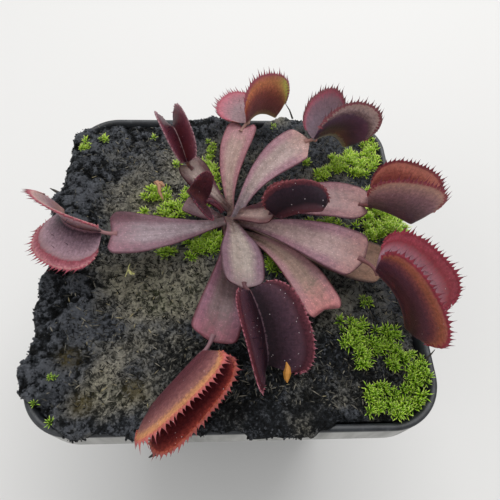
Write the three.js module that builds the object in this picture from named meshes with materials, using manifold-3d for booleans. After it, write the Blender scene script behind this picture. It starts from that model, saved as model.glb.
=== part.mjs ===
// A Venus flytrap in a square plastic nursery pot.
// Millimetres, +Z up. The origin is the centre of the pot's base, on its underside.
// The leaves stand in a rosette on a short rhizome; each has a winged stalk and,
// on ten of them, a trap of two toothed lobes that meet on a midrib.

import * as THREE from 'three';
import { mergeVertices } from 'three/addons/utils/BufferGeometryUtils.js';
import Module from 'manifold-3d';

const wasm = await Module();
wasm.setup();

// ---------------------------------------------------------------- driving dimensions

const GAP = 0.35;                 // clearance between neighbouring pieces

const POT = {
  height: 80,
  rim: 90,                        // outer width across the lip
  base: 64,                       // outer width across the foot
  wall: 0.9,
  lip: 1.5,                       // width of the flat lip
  depth: 10,                      // depth of the outer band under the lip
  bandWall: 0.7,
  rimRadius: 11.5,
  baseRadius: 9,
  floor: 1.6,                     // thickness of the base
};

const DRAIN = { radius: 3.2, reach: 19 };   // eight holes round the base, clear of its centre

const PEAT = {
  level: 79.2,                    // height of the surface near the lip
  crown: 2.4,                     // how far the middle is heaped above that
  roughness: 0.7,
  lump: 6.5,                      // spacing of the big lumps of the crust
  lumpHeight: 1.8,
  overhang: 0.25,                 // how far past the lip it hangs on the left, as a share of its way out
};

const CROWN = { x: -0.5, y: 5.5, top: 84.2, radius: 2.6, tipRadius: 1.4, depth: 16 };

const BLADE = { thickness: 0.8, rib: 0.6, fold: 0.16, neckWidth: 1.3, neckRoot: 0.8, neckGap: 1.0 };
const LOBE = { inner: 0.2, outer: 0.5, midrib: 0.8, teeth: 16, toothLength: 1.7 };
const MOSS_LIFT = 0.7;            // clearance of the moss over the uneven peat

const COLOURS = {
  pot: 0x1f2022,
  peat: 0x2a2826,
  rhizome: 0xa98a84,
  stalk: 0x8c6f78,
  oldStalk: 0x6b5a50,
  trap: 0x5e2b36,
  moss: 0x7ba02a,
};

// Winged stalks. from, via and to are the points of the midline: the crown, the bend
// and the blunt end. width is the blade's widest, peak is where along it that falls,
// foot and tip are the fractions of it left at the crown and at the end, shoulders is
// how far the end's corners reach past the midline, and bank tilts the blade.
const STALKS = [
  { name: 'a', from: [-4.2, 4.2, 84.0], via: [-14.3, -1.7, 88.0], to: [-28.3, -2.2, 89.5],
    width: 10.8, foot: 0.24, peak: 0.92, tip: 0.78, shoulders: 0.5, bank: 5 },
  { name: 'b', from: [-2.4, 8.6, 86.4], via: [-7.3, 11.4, 91.5], to: [-10.8, 13.9, 95.0],
    width: 7.4, foot: 0.3, peak: 0.76, tip: 0.55, shoulders: 1.4, bank: 0 },
  { name: 'c', from: [-0.6, 9.2, 84.4], via: [-1.7, 19.8, 89.5], to: [2.9, 29.9, 91.5],
    width: 8.4, foot: 0.24, peak: 0.87, tip: 0.68, shoulders: 1.5, bank: 12 },
  { name: 'd', from: [1.9, 8.6, 85.2], via: [7.6, 20.2, 90.3], to: [20.2, 24.7, 92.5],
    width: 9.4, foot: 0.28, peak: 0.86, tip: 0.6, shoulders: -2.2, bank: -16 },
  { name: 'e', from: [3.4, 6.8, 84.1], via: [17.4, 12.2, 87.2], to: [32.7, 6.4, 88.5],
    width: 10.8, foot: 0.26, peak: 0.79, tip: 0.32, shoulders: 1.2, bank: -4 },
  { name: 'f', from: [3.2, 3.6, 84.7], via: [16.6, -0.6, 88.4], to: [29.6, -10.4, 90.6],
    width: 10.8, foot: 0.2, peak: 0.86, tip: 0.8, shoulders: -1.0, bank: -18 },
  { name: 'g', from: [2.0, 4.9, 87.0], via: [5.0, 3.4, 89.8], to: [10.0, 2.0, 91.3],
    width: 6.6, foot: 0.6, peak: 0.7, tip: 0.5, shoulders: -0.5, bank: 0 },
  { name: 'h', from: [1.9, 2.2, 83.0], via: [14.8, -4.5, 85.2], to: [20.6, -19.7, 84.6],
    width: 9.0, foot: 0.22, peak: 0.92, tip: 0.84, shoulders: 1.0, bank: 0 },
  { name: 'i', from: [-0.1, 2.6, 86.2], via: [2.1, -6.9, 89.8], to: [2.2, -17.3, 90.9],
    width: 10.3, foot: 0.34, peak: 0.62, tip: 0.54, shoulders: -0.8, bank: 16 },
  { name: 'j', from: [-1.4, 2.0, 83.6], via: [0.0, -12.8, 86.8], to: [-4.8, -28.1, 88.3],
    width: 10.6, foot: 0.2, peak: 0.9, tip: 0.9, shoulders: -0.8, bank: 14 },
  { name: 'k', from: [3.6, 4.6, 82.9], via: [20.1, -2.0, 82.3], to: [37.2, -8.2, 82.6],
    width: 12.4, foot: 0.2, peak: 0.78, tip: 0.84, shoulders: -1.3, bank: 4, old: true },
  { name: 'l', from: [-3.6, 6.4, 82.9], via: [-7.8, 7.4, 85.0], to: [-12.4, 9.6, 85.3],
    width: 4.4, foot: 0.6, peak: 0.74, tip: 0.85, shoulders: -0.3, bank: 10, old: true },
  { name: 'm', from: [-2.9, 5.9, 87.6], via: [-4.0, 6.6, 89.4], to: [-6.2, 6.5, 90.6],
    width: 1.8, foot: 0.7, peak: 0.6, tip: 0.75, shoulders: 0.1, bank: 0 },
];

// Traps. hinge is the neck's end of the midrib; heading is its compass bearing,
// clockwise from +Y, pitch its climb and roll the tilt of the mouth. length and depth
// are the midrib's length and a lobe's reach. flare is how far a lobe runs past the
// midrib's ends (near, far), skew moves its fullest part, arch bows the midrib,
// open holds the two lobes' angles from the mouth's axis (left, right), curl is how
// much a lobe is cupped, and twist turns the far end against the near end.
const TRAPS = [
  { name: 'a', hinge: [-30.5, -2.0, 90.0], heading: -52, pitch: -13, roll: 66.5, length: 15,
    depth: 10.1, flare: [0.41, 0.27], skew: 0.02, arch: 3.3, open: [37, 50.5], curl: 30, twist: -1 },
  { name: 'b', hinge: [-10.8, 13.1, 97.0], heading: -22, pitch: 13, roll: 4, length: 10.3,
    depth: 6.5, flare: [0.24, 0.36], skew: 0.02, arch: 3.0, open: [28, 21.5], curl: 29, twist: 4,
    teeth: 14, toothLength: 0.5 },
  { name: 'c', hinge: [3.6, 30.2, 93.0], heading: 40, pitch: -29, roll: 44.5, length: 16.4,
    depth: 10.7, flare: [0.32, 0], skew: 0.11, arch: 2.3, open: [45, 43], curl: 25, twist: -12.5 },
  { name: 'd', hinge: [20.7, 23.6, 94.0], heading: 57, pitch: -38, roll: 22, length: 17.2,
    depth: 11.7, flare: [0.11, -0.1], skew: 0.33, arch: 2.75, open: [33, 35.5], curl: 27, twist: -21 },
  { name: 'e', hinge: [33.2, 5.7, 90.0], heading: 112, pitch: -7, roll: 17, length: 11.8,
    depth: 12.7, flare: [0.35, 0.53], skew: -0.02, arch: 0.6, open: [16.5, 16.5], curl: 27, twist: 16,
    teeth: 20 },
  { name: 'f', hinge: [31.2, -13.8, 92.5], heading: 140, pitch: -38, roll: 36, length: 16.4,
    depth: 13.3, flare: [0.7, 0.1], skew: 0.27, arch: 2.0, open: [38.5, 42], curl: 29, twist: -9,
    teeth: 20 },
  { name: 'g', hinge: [10.5, 0.7, 92.0], heading: 94, pitch: 22, roll: 55, length: 10.8,
    depth: 7.1, flare: [0.33, 0.32], skew: -0.18, arch: 0.7, open: [10.5, 10.5], curl: 30, twist: 36,
    teeth: 18, toothLength: 0.5 },
  { name: 'i', hinge: [3.5, -17.9, 91.5], heading: 165, pitch: -31, roll: 23, length: 16.6,
    depth: 9.7, flare: [0.17, 0.36], skew: 0.09, arch: 1.8, open: [50.5, 53.5], curl: 30, twist: 5,
    teeth: 18, toothLength: 0.8 },
  { name: 'j', hinge: [-5.9, -30.3, 89.0], heading: -132, pitch: -24, roll: 54.5, length: 16.7,
    depth: 11.1, flare: [0.47, 0.28], skew: 0.18, arch: -0.4, open: [13, 14], curl: 25, twist: -11,
    toothLength: 1.9 },
  { name: 'm', hinge: [-6.4, 4.8, 92.0], heading: -131, pitch: 63, roll: 45, length: 9.6,
    depth: 6.3, flare: [-0.1, -0.1], skew: -0.05, arch: -0.3, open: [56, 56], curl: 32, twist: 0,
    teeth: 12, toothLength: 0.4 },
];

// Moss cushions lying on the peat: centre, half sizes and height of each.
const MOSS = [
  { name: 'front_right', at: [33.0, -26.8], size: [7.2, 5.2], height: 2.4 },
  { name: 'front_corner', at: [34.2, -37.3], size: [6.2, 3.2], height: 2.2 },
  { name: 'back_right', at: [35.5, 14.5], size: [5.2, 8.2], height: 2.4 },
  { name: 'back_corner', at: [34.2, 31.0], size: [5.4, 4.8], height: 2.2 },
  { name: 'crown_south_west', at: [-8.5, -0.8], size: [4.6, 3.4], height: 1.8 },
  { name: 'crown_north_west', at: [-13.5, 9.5], size: [6.0, 3.2], height: 1.8 },
  { name: 'crown_north', at: [-4.0, 15.5], size: [2.8, 4.6], height: 1.8 },
  { name: 'crown_south_east', at: [10.0, -7.0], size: [3.4, 2.6], height: 1.5 },
];

// ---------------------------------------------------------------- small helpers

const UP = new THREE.Vector3(0, 0, 1);
const vec = (a) => new THREE.Vector3(a[0], a[1], a[2]);
const lerp = THREE.MathUtils.lerp;
const clamp01 = (t) => THREE.MathUtils.clamp(t, 0, 1);
const smooth = (t) => clamp01(t) ** 2 * (3 - 2 * clamp01(t));
const bump = (x, y, at, reach) => Math.exp(-((x - at[0]) ** 2 + (y - at[1]) ** 2) / reach ** 2);

function meshFrom(points, faces) {
  const geometry = new THREE.BufferGeometry();
  const flat = new Float32Array(points.length * 3);
  points.forEach((p, i) => p.toArray(flat, i * 3));
  geometry.setAttribute('position', new THREE.BufferAttribute(flat, 3));
  geometry.setIndex(faces.flat());
  return geometry;
}

function named(name, geometry, color, roughness) {
  const material = new THREE.MeshStandardMaterial({ color, roughness, metalness: 0 });
  geometry.computeVertexNormals();
  const mesh = new THREE.Mesh(geometry, material);
  mesh.name = name;
  return mesh;
}

// A thin sheet of triangles becomes a closed blade: each point is pushed half the
// thickness along its own direction both ways, and walls close the open edges.
function thicken(points, pushes, faces) {
  const count = points.length;
  const solid = [...points.map((p, i) => p.clone().add(pushes[i][0]))];
  solid.push(...points.map((p, i) => p.clone().sub(pushes[i][1])));
  const edges = new Map();
  for (const [a, b, c] of faces) {
    for (const [from, to] of [[a, b], [b, c], [c, a]]) {
      edges.set(`${from}_${to}`, [from, to]);
    }
  }
  const out = faces.map((f) => [...f]);
  out.push(...faces.map(([a, b, c]) => [c + count, b + count, a + count]));
  for (const [from, to] of edges.values()) {
    if (edges.has(`${to}_${from}`)) continue;
    out.push([from, from + count, to + count], [from, to + count, to]);
  }
  return meshFrom(solid, out);
}

// Triangles between two neighbouring rows of points that have the same count.
function band(rowA, rowB) {
  const faces = [];
  for (let i = 0; i + 1 < rowA.length; i++) {
    faces.push([rowA[i], rowA[i + 1], rowB[i + 1]], [rowA[i], rowB[i + 1], rowB[i]]);
  }
  return faces;
}

// Triangles between a row and one with twice as many steps.
function doublingBand(coarse, fine) {
  const faces = [];
  for (let i = 0; i + 1 < coarse.length; i++) {
    const [f0, f1, f2] = [fine[2 * i], fine[2 * i + 1], fine[2 * i + 2]];
    faces.push([coarse[i], f1, f0], [coarse[i], coarse[i + 1], f1], [coarse[i + 1], f2, f1]);
  }
  return faces;
}

// ---------------------------------------------------------------- pot

// Points of a square ring with rounded corners, anticlockwise from the +X side.
function squareRing(half, radius, z, cornerSteps, sideSteps = 1) {
  const ring = [];
  const inner = half - radius;
  for (let corner = 0; corner < 4; corner++) {
    const signX = corner === 0 || corner === 3 ? 1 : -1;
    const signY = corner < 2 ? 1 : -1;
    for (let i = 0; i <= cornerSteps; i++) {
      const angle = (corner + i / cornerSteps) * Math.PI / 2;
      const x = signX * inner + radius * Math.cos(angle);
      const y = signY * inner + radius * Math.sin(angle);
      ring.push(new THREE.Vector3(x, y, z));
    }
    const heading = (corner + 2) * Math.PI / 2;
    const along = vec([Math.cos(heading), Math.sin(heading), 0]).multiplyScalar(2 * inner / sideSteps);
    for (let i = 1; i < sideSteps; i++) ring.push(ring.at(-1).clone().add(along));
  }
  return ring;
}

// A closed body lofted through rings of equal count and capped at both ends.
function loftRings(rings) {
  const count = rings[0].length;
  const points = rings.flat();
  const faces = [];
  for (let k = 0; k + 1 < rings.length; k++) {
    const low = k * count;
    const high = low + count;
    for (let i = 0; i < count; i++) {
      const j = (i + 1) % count;
      faces.push([low + i, low + j, high + j], [low + i, high + j, high + i]);
    }
  }
  const middleOf = (ring) => {
    const middle = new THREE.Vector3();
    ring.forEach((p) => middle.add(p));
    return middle.divideScalar(count);
  };
  points.push(middleOf(rings[0]), middleOf(rings.at(-1)));
  const last = (rings.length - 1) * count;
  for (let i = 0; i < count; i++) {
    const j = (i + 1) % count;
    faces.push([points.length - 2, j, i], [points.length - 1, last + i, last + j]);
  }
  return meshFrom(points, faces);
}

// Half width and corner radius of the wall's outer face at a height: its inner face
// meets the lip's inner edge at the top.
const wallHalf = (z) => lerp(POT.base / 2, POT.rim / 2 - POT.lip + POT.wall, z / POT.height);
const wallRadius = (z) => lerp(POT.baseRadius, POT.rimRadius - POT.lip + POT.wall, z / POT.height);

function toSolid(geometry) {
  const bare = new THREE.BufferGeometry();
  bare.setAttribute('position', geometry.getAttribute('position'));
  bare.setIndex(geometry.getIndex());
  const merged = mergeVertices(bare, 1e-4);
  const vertProperties = new Float32Array(merged.getAttribute('position').array);
  const triVerts = new Uint32Array(merged.getIndex().array);
  return new wasm.Manifold(new wasm.Mesh({ numProp: 3, vertProperties, triVerts }));
}

function fromSolid(solid) {
  const { vertProperties, triVerts } = solid.getMesh();
  const geometry = new THREE.BufferGeometry();
  geometry.setAttribute('position', new THREE.BufferAttribute(new Float32Array(vertProperties), 3));
  geometry.setIndex(new THREE.BufferAttribute(new Uint32Array(triVerts), 1));
  return geometry;
}

function potGeometry() {
  const { height, wall, lip, depth, bandWall, rim, rimRadius, baseRadius, floor } = POT;
  const edge = rim / 2;
  const underLip = height - wall;
  const ring = (half, radius, z) => squareRing(half, radius, z, 6);
  const shell = loftRings([
    ring(6, 3, 0),
    ring(wallHalf(0) - 0.5, baseRadius - 0.5, 0),
    ring(wallHalf(0), baseRadius, 0.5),
    ring(wallHalf(underLip), wallRadius(underLip), underLip),
    ring(edge - bandWall, rimRadius - bandWall, underLip),
    ring(edge - bandWall, rimRadius - bandWall, height - depth),
    ring(edge, rimRadius, height - depth),
    ring(edge, rimRadius, height - 0.5),
    ring(edge - 0.4, rimRadius - 0.4, height),
    ring(edge - lip, rimRadius - lip, height),
    ring(wallHalf(floor) - wall, wallRadius(floor) - wall, floor),
    ring(6, 3, floor),
  ]);
  let solid = toSolid(shell);
  const hole = new THREE.CylinderGeometry(DRAIN.radius, DRAIN.radius, 4 * floor, 16);
  hole.rotateX(Math.PI / 2);
  for (let i = 0; i < 8; i++) {
    const angle = i * Math.PI / 4;
    const reach = DRAIN.reach * (i % 2 ? 1.2 : 1);
    const drill = hole.clone().translate(reach * Math.cos(angle), reach * Math.sin(angle), 0);
    solid = solid.subtract(toSolid(drill));
  }
  return fromSolid(solid);
}

// ---------------------------------------------------------------- peat

// Crumbly relief made of a few crossed waves.
function relief(x, y) {
  const coarse = Math.sin(0.31 * x + 1.3) * Math.cos(0.27 * y - 0.6);
  const middle = Math.sin(0.71 * x - 0.43 * y) * Math.sin(0.53 * y + 0.37 * x + 2.1);
  return 0.6 * coarse + 0.4 * middle;
}

// A number from 0 to 1 for each cell of a lattice, scattered but always the same.
function scatter(i, j, k) {
  const wave = Math.sin(127.1 * i + 311.7 * j + 74.7 * k) * 43758.5453;
  return wave - Math.floor(wave);
}

// Rounded lumps, 0 to 1 high: each cell of a lattice holds one dome at a scattered
// place, and the tallest one over a point counts.
function lumps(x, y) {
  const [u, v] = [x / PEAT.lump, y / PEAT.lump];
  let height = 0;
  for (let i = Math.floor(u) - 1; i <= Math.floor(u) + 1; i++) {
    for (let j = Math.floor(v) - 1; j <= Math.floor(v) + 1; j++) {
      const far = Math.hypot(u - i - scatter(i, j, 1), v - j - scatter(i, j, 2));
      const radius = 0.5 + 0.4 * scatter(i, j, 3);
      const tall = 0.5 + 0.5 * scatter(i, j, 4);
      height = Math.max(height, tall * Math.sqrt(Math.max(0, 1 - (far / radius) ** 2)));
    }
  }
  return height;
}

// Where the peat is an old lumpy crust (1) and where it has settled (0): it is crusted
// along the left and across the back left.
function crust(x, y) {
  const left = smooth((-x - 30 + 2 * Math.sin(0.35 * y)) / 7);
  const back = smooth((y - 31 + 2 * Math.sin(0.4 * x)) / 8) * smooth((12 - x) / 16);
  return Math.max(left, back);
}

// Height of the peat's surface: heaped in the middle and at the left, low at the
// front right, with two lumps at the back.
function peatHeight(x, y) {
  const heap = PEAT.crown * bump(x, y, [CROWN.x, CROWN.y], 20);
  const left = 2.6 * smooth((-x - 24) / 20) * smooth((y + 42) / 30);
  const back = 2.6 * bump(x, y, [-6, 43], 6) + 2.0 * bump(x, y, [18, 45], 5);
  const right = -1.9 * smooth((x - 26) / 14) - 0.8 * bump(x, y, [40, -40], 14);
  const lumpy = PEAT.lumpHeight * crust(x, y) * (lumps(x, y) - 0.4);
  return PEAT.level + heap + left + back + right + lumpy + PEAT.roughness * relief(x, y);
}

// How far the peat spills over the lip at a point of the edge: 0 stays inside the pot,
// 1 reaches the lip's outer edge and more hangs past it, furthest at a clump on the left.
function spill(x, y) {
  const left = smooth((-x - 30) / 8) * smooth((y + 41) / 5) * smooth((46 - y) / 10);
  const clump = 0.7 * bump(x, y, [-45, 12.5], 4.5);
  const front = smooth((-y - 36) / 6) * smooth((x + 40) / 6) * smooth((24 - x) / 8);
  const back = smooth((y - 36) / 5) * Math.max(bump(x, 0, [-7, 0], 7), bump(x, 0, [17, 0], 5));
  return Math.max(left * (1 + PEAT.overhang * (0.6 + 0.4 * Math.sin(0.55 * y))), front, back) + clump;
}

function peatGeometry() {
  const { floor, wall, rim, lip, height, rimRadius } = POT;
  const ring = (half, radius, z) => squareRing(half, radius, z, 6, 20);
  const wallRing = (z) => {
    const half = wallHalf(z) - wall - GAP;
    return ring(half, wallRadius(z) - wall - GAP, z);
  };
  const lowest = height - 5.5;
  const inside = wallRing(lowest);
  const lipRing = ring(rim / 2, rimRadius, 0);
  const lift = height + GAP;
  const amounts = lipRing.map((p) => spill(p.x, p.y));
  const shoulder = [];
  const verge = [];
  const brow = [];
  inside.forEach((p, i) => {
    const count = inside.length;
    const around = [amounts[(i + count - 1) % count], amounts[i], amounts[(i + 1) % count]];
    const over = Math.max(...around) > 0.05;
    const edge = p.clone().lerp(lipRing[i], over ? Math.max(amounts[i], 0.15) : 0);
    const natural = peatHeight(edge.x, edge.y);
    const top = over ? Math.max(natural, lift + 0.9) : Math.min(natural, height - 1.2);
    const under = over ? lift : top - 0.5;
    const inward = (q, z, share) => q.clone().setZ(z).lerp(new THREE.Vector3(0, 0, z), share);
    shoulder.push(new THREE.Vector3(p.x, p.y, under - (over ? 0 : 0.3)));
    verge.push(inward(edge, under, over ? 0 : 0.006));
    brow.push(inward(edge, top, 0.02));
  });
  const holeRing = (radius, z) => inside.map((p) => {
    const angle = Math.atan2(p.y, p.x);
    return new THREE.Vector3(CROWN.x + radius * Math.cos(angle), CROWN.y + radius * Math.sin(angle), z);
  });
  const mouth = holeRing(CROWN.radius + GAP, 0);
  const surface = [];
  const steps = 16;
  for (let k = 1; k <= steps; k++) {
    const inwards = (k / steps) ** 1.3;
    surface.push(brow.map((p, i) => {
      const q = p.clone().lerp(mouth[i], inwards);
      const settled = peatHeight(q.x, q.y);
      q.z = lerp(p.z, settled, smooth((k - 1) / 4));
      return q;
    }));
  }
  return loftRings([
    wallRing(floor + GAP),
    inside,
    shoulder,
    verge,
    brow,
    ...surface,
    holeRing(CROWN.tipRadius + GAP, CROWN.top - CROWN.depth - GAP),
  ]);
}

// ---------------------------------------------------------------- rhizome

function rhizomeGeometry() {
  const { radius, tipRadius, top, depth } = CROWN;
  const profile = [
    [0, top - depth],
    [tipRadius * 0.8, top - depth],
    [tipRadius, top - depth + 0.4],
    [radius, top - 5],
    [radius, top - 1.6],
    [radius * 0.7, top - 0.5],
    [0, top],
  ];
  const lathe = new THREE.LatheGeometry(profile.map(([r, y]) => new THREE.Vector2(r, y)), 20);
  lathe.rotateX(Math.PI / 2);
  lathe.deleteAttribute('normal');
  lathe.deleteAttribute('uv');
  return mergeVertices(lathe, 1e-4);
}

// ---------------------------------------------------------------- winged stalks

// Midline of a stalk, a quadratic curve from the crown to the blunt end.
const midline = ({ from, via, to }) => new THREE.QuadraticBezierCurve3(vec(from), vec(via), vec(to));

// Half width of the wing at a fraction s of the midline: it swells in an S to the
// widest place and rounds off from there to the shoulders.
function wingHalf(stalk, s) {
  const rise = stalk.foot + (1 - stalk.foot) * smooth(s / stalk.peak) ** 0.8;
  const past = clamp01((s - stalk.peak) / (1 - stalk.peak));
  const fall = stalk.tip + (1 - stalk.tip) * Math.sqrt(1 - past ** 3);
  return stalk.width / 2 * (s < stalk.peak ? rise : fall);
}

function stalkGeometry(stalk, hinge) {
  const curve = midline(stalk);
  const rows = 10;
  const halfColumns = 3;
  const points = [];
  const pushes = [];
  const grid = [];
  const bank = THREE.MathUtils.degToRad(stalk.bank);
  for (let i = 0; i <= rows; i++) {
    const s = i / rows;
    const centre = curve.getPoint(s);
    const along = curve.getTangent(s);
    const level = along.clone().cross(UP).normalize();
    const normal = level.clone().cross(along);
    const side = level.clone().multiplyScalar(Math.cos(bank)).addScaledVector(normal, Math.sin(bank));
    const up = side.clone().cross(along);
    const half = wingHalf(stalk, s);
    const row = [];
    for (let j = -halfColumns; j <= halfColumns; j++) {
      const v = j / halfColumns;
      const forward = stalk.shoulders * Math.abs(v) ** 1.5 * s ** 6;
      const raised = BLADE.fold * half * Math.abs(v) ** 1.5;
      const point = centre.clone().addScaledVector(side, half * v);
      point.addScaledVector(along, forward).addScaledVector(up, raised);
      row.push(points.push(point) - 1);
      const keel = BLADE.rib * (1 - Math.abs(v)) ** 2;
      const lower = BLADE.thickness / 2 + keel;
      pushes.push([BLADE.thickness / 2, lower].map((t) => up.clone().multiplyScalar(t)));
    }
    grid.push(row);
  }
  const faces = [];
  for (let i = 0; i < rows; i++) faces.push(...band(grid[i], grid[i + 1]));
  const blade = thicken(points, pushes, faces);
  return hinge ? fromSolid(toSolid(blade).add(toSolid(neckGeometry(curve, hinge)))) : blade;
}

// The neck between a stalk's end and its trap: a slim rod from inside the blade to
// just short of the midrib.
function neckGeometry(curve, hinge) {
  const end = curve.getPoint(1);
  const root = end.clone().addScaledVector(curve.getTangent(1), -BLADE.neckRoot);
  const tip = hinge.clone().addScaledVector(hinge.clone().sub(end).normalize(), -BLADE.neckGap);
  const axis = tip.clone().sub(root);
  const radius = BLADE.neckWidth / 2;
  const rod = new THREE.CylinderGeometry(radius * 0.84, radius, axis.length(), 8);
  const turn = new THREE.Quaternion().setFromUnitVectors(vec([0, 1, 0]), axis.normalize());
  return rod.applyQuaternion(turn).translate(...root.add(tip).divideScalar(2).toArray());
}

// ---------------------------------------------------------------- traps

// The trap's own axes: x runs down the midrib, y to its right and z out of the mouth.
function trapAxes({ heading, pitch, roll }) {
  const [a, p, r] = [heading, pitch, roll].map(THREE.MathUtils.degToRad);
  const x = vec([Math.sin(a) * Math.cos(p), Math.cos(a) * Math.cos(p), Math.sin(p)]);
  const level = x.clone().cross(UP).normalize();
  const normal = level.clone().cross(x);
  const y = level.multiplyScalar(Math.cos(r)).addScaledVector(normal, Math.sin(r));
  return { x, y, z: y.clone().cross(x) };
}

// Reach of a lobe at a fraction s of the midrib: a D, blunt at both ends.
function lobeReach(trap, s) {
  const round = (1 - Math.abs(2 * s - 1) ** 3) ** 0.62;
  return (0.4 + 0.6 * round) * (1 + trap.skew * (2 * s - 1));
}

// A lobe's angle from the mouth's axis where it leaves the midrib, and its curl.
function lobeAngles(trap, side) {
  const open = THREE.MathUtils.degToRad(trap.open[side < 0 ? 0 : 1] + trap.curl / 2);
  return { open, curl: THREE.MathUtils.degToRad(trap.curl) };
}

// The trap's y and z axes at a fraction s of the midrib, turned by the twist.
function twisted(trap, axes, s) {
  const turn = THREE.MathUtils.degToRad(trap.twist * (2 * s - 1));
  const y = axes.y.clone().multiplyScalar(Math.cos(turn)).addScaledVector(axes.z, Math.sin(turn));
  const z = axes.z.clone().multiplyScalar(Math.cos(turn)).addScaledVector(axes.y, -Math.sin(turn));
  return { y, z };
}

// The direction into the mouth, square to a lobe; on the midrib itself it is the axis z.
function lobeNormal(trap, axes, side, s, v) {
  const { y, z } = twisted(trap, axes, s);
  if (v === 0) return z;
  const { open, curl } = lobeAngles(trap, side);
  const angle = open - curl * v;
  return z.multiplyScalar(Math.sin(angle)).addScaledVector(y, -side * Math.cos(angle));
}

// A point of a lobe: s along the midrib, v from the midrib (0) to the margin (1) and
// on into the teeth. side is -1 for the left lobe and 1 for the right one. The lobe
// leaves the midrib at its opening angle plus half the curl and bends in by the curl.
function lobePoint(trap, axes, side, s, v) {
  const reach = lobeReach(trap, s);
  const { open, curl } = lobeAngles(trap, side);
  const out = (Math.cos(open - curl * v) - Math.cos(open)) / curl;
  const high = (Math.sin(open) - Math.sin(open - curl * v)) / curl;
  const { y, z } = twisted(trap, axes, s);
  const [near, far] = trap.flare;
  const along = trap.length * (s + reach * v * (far * s ** 2 - near * (1 - s) ** 2));
  const point = vec(trap.hinge).addScaledVector(axes.x, along);
  point.addScaledVector(axes.z, trap.arch * 4 * s * (1 - s));
  point.addScaledVector(y, side * out * trap.depth * reach);
  return point.addScaledVector(z, high * trap.depth * reach);
}

function trapGeometry(trap) {
  const axes = trapAxes(trap);
  const teeth = trap.teeth ?? LOBE.teeth;
  const toothLength = trap.toothLength ?? LOBE.toothLength;
  const at = (i) => (1 - Math.cos(Math.PI * i / teeth)) / 2;
  const points = [];
  const pushes = [];
  const faces = [];
  const place = (side, s, v) => {
    const normal = lobeNormal(trap, axes, side, s, v);
    const outward = v === 0 ? LOBE.midrib : LOBE.outer;
    pushes.push([LOBE.inner, outward].map((t) => normal.clone().multiplyScalar(t)));
    return points.push(lobePoint(trap, axes, side, s, v)) - 1;
  };
  const rowOf = (side, v, step) => {
    const row = [];
    for (let i = 0; i <= teeth; i += step) row.push(place(side, at(i), v));
    return row;
  };
  const midrib = rowOf(1, 0, 2);
  for (const side of [-1, 1]) {
    const inner = rowOf(side, 0.36, 2);
    const outer = rowOf(side, 0.72, 1);
    const margin = rowOf(side, 1, 1);
    const lobe = [...band(midrib, inner), ...doublingBand(inner, outer), ...band(outer, margin)];
    for (let i = 1; i + 1 < teeth; i++) {
      const s = (at(i) + at(i + 1)) / 2;
      const tip = place(side, s, 1 + toothLength / (trap.depth * lobeReach(trap, s)));
      lobe.push([margin[i], margin[i + 1], tip]);
    }
    faces.push(...lobe.map(([a, b, c]) => (side < 0 ? [a, b, c] : [a, c, b])));
  }
  return thicken(points, pushes, faces);
}

// ---------------------------------------------------------------- moss

// A low cushion that follows the peat and rounds off to its edge.
function mossGeometry({ at, size, height }) {
  const count = 16;
  const circles = [0.35, 0.7, 1];
  const top = [];
  const low = [];
  for (const r of circles) {
    const ring = (lift) => Array.from({ length: count }, (_, i) => {
      const angle = 2 * Math.PI * i / count;
      const lobed = r * (1 + 0.12 * Math.sin(3 * angle + at[0]));
      const x = at[0] + size[0] * lobed * Math.cos(angle);
      const y = at[1] + size[1] * lobed * Math.sin(angle);
      return new THREE.Vector3(x, y, peatHeight(x, y) + lift);
    });
    low.push(ring(MOSS_LIFT));
    top.unshift(ring(MOSS_LIFT + 0.6 + (height - 0.6) * Math.sqrt(1 - 0.96 * r * r)));
  }
  return loftRings([...low, ...top]);
}

// ---------------------------------------------------------------- the whole plant

const plant = new THREE.Group();
plant.add(named('pot', potGeometry(), COLOURS.pot, 0.35));
plant.add(named('soil', peatGeometry(), COLOURS.peat, 0.95));

const rhizome = named('rhizome', rhizomeGeometry(), COLOURS.rhizome, 0.6);
rhizome.position.set(CROWN.x, CROWN.y, 0);
plant.add(rhizome);

for (const stalk of STALKS) {
  const trap = TRAPS.find(({ name }) => name === stalk.name);
  const geometry = stalkGeometry(stalk, trap ? vec(trap.hinge) : null);
  plant.add(named(`stalk_${stalk.name}`, geometry, stalk.old ? COLOURS.oldStalk : COLOURS.stalk, 0.5));
}
for (const trap of TRAPS) {
  plant.add(named(`trap_${trap.name}`, trapGeometry(trap), COLOURS.trap, 0.4));
}
for (const cushion of MOSS) {
  plant.add(named(`moss_${cushion.name}`, mossGeometry(cushion), COLOURS.moss, 0.9));
}

export default plant;
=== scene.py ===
import math

import bpy
import numpy as np
from mathutils import Matrix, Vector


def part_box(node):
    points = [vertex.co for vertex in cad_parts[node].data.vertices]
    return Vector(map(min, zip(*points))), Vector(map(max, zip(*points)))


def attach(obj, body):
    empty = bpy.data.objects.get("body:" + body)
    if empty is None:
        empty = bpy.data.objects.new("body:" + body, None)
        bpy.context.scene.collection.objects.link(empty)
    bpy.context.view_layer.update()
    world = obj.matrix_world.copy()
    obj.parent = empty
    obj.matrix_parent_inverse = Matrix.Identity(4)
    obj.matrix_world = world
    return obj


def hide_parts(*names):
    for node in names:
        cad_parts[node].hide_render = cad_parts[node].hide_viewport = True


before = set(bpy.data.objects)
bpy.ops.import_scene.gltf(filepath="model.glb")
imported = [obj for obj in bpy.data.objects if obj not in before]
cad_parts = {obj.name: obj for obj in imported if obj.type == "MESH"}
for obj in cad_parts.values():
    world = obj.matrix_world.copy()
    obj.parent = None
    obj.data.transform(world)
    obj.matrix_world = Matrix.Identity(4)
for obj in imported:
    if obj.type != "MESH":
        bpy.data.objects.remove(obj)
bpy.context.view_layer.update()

MM = 0.001      # every length below is in millimetres
BODY = "root"   # nothing on the plant or the pot moves on a joint


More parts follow.
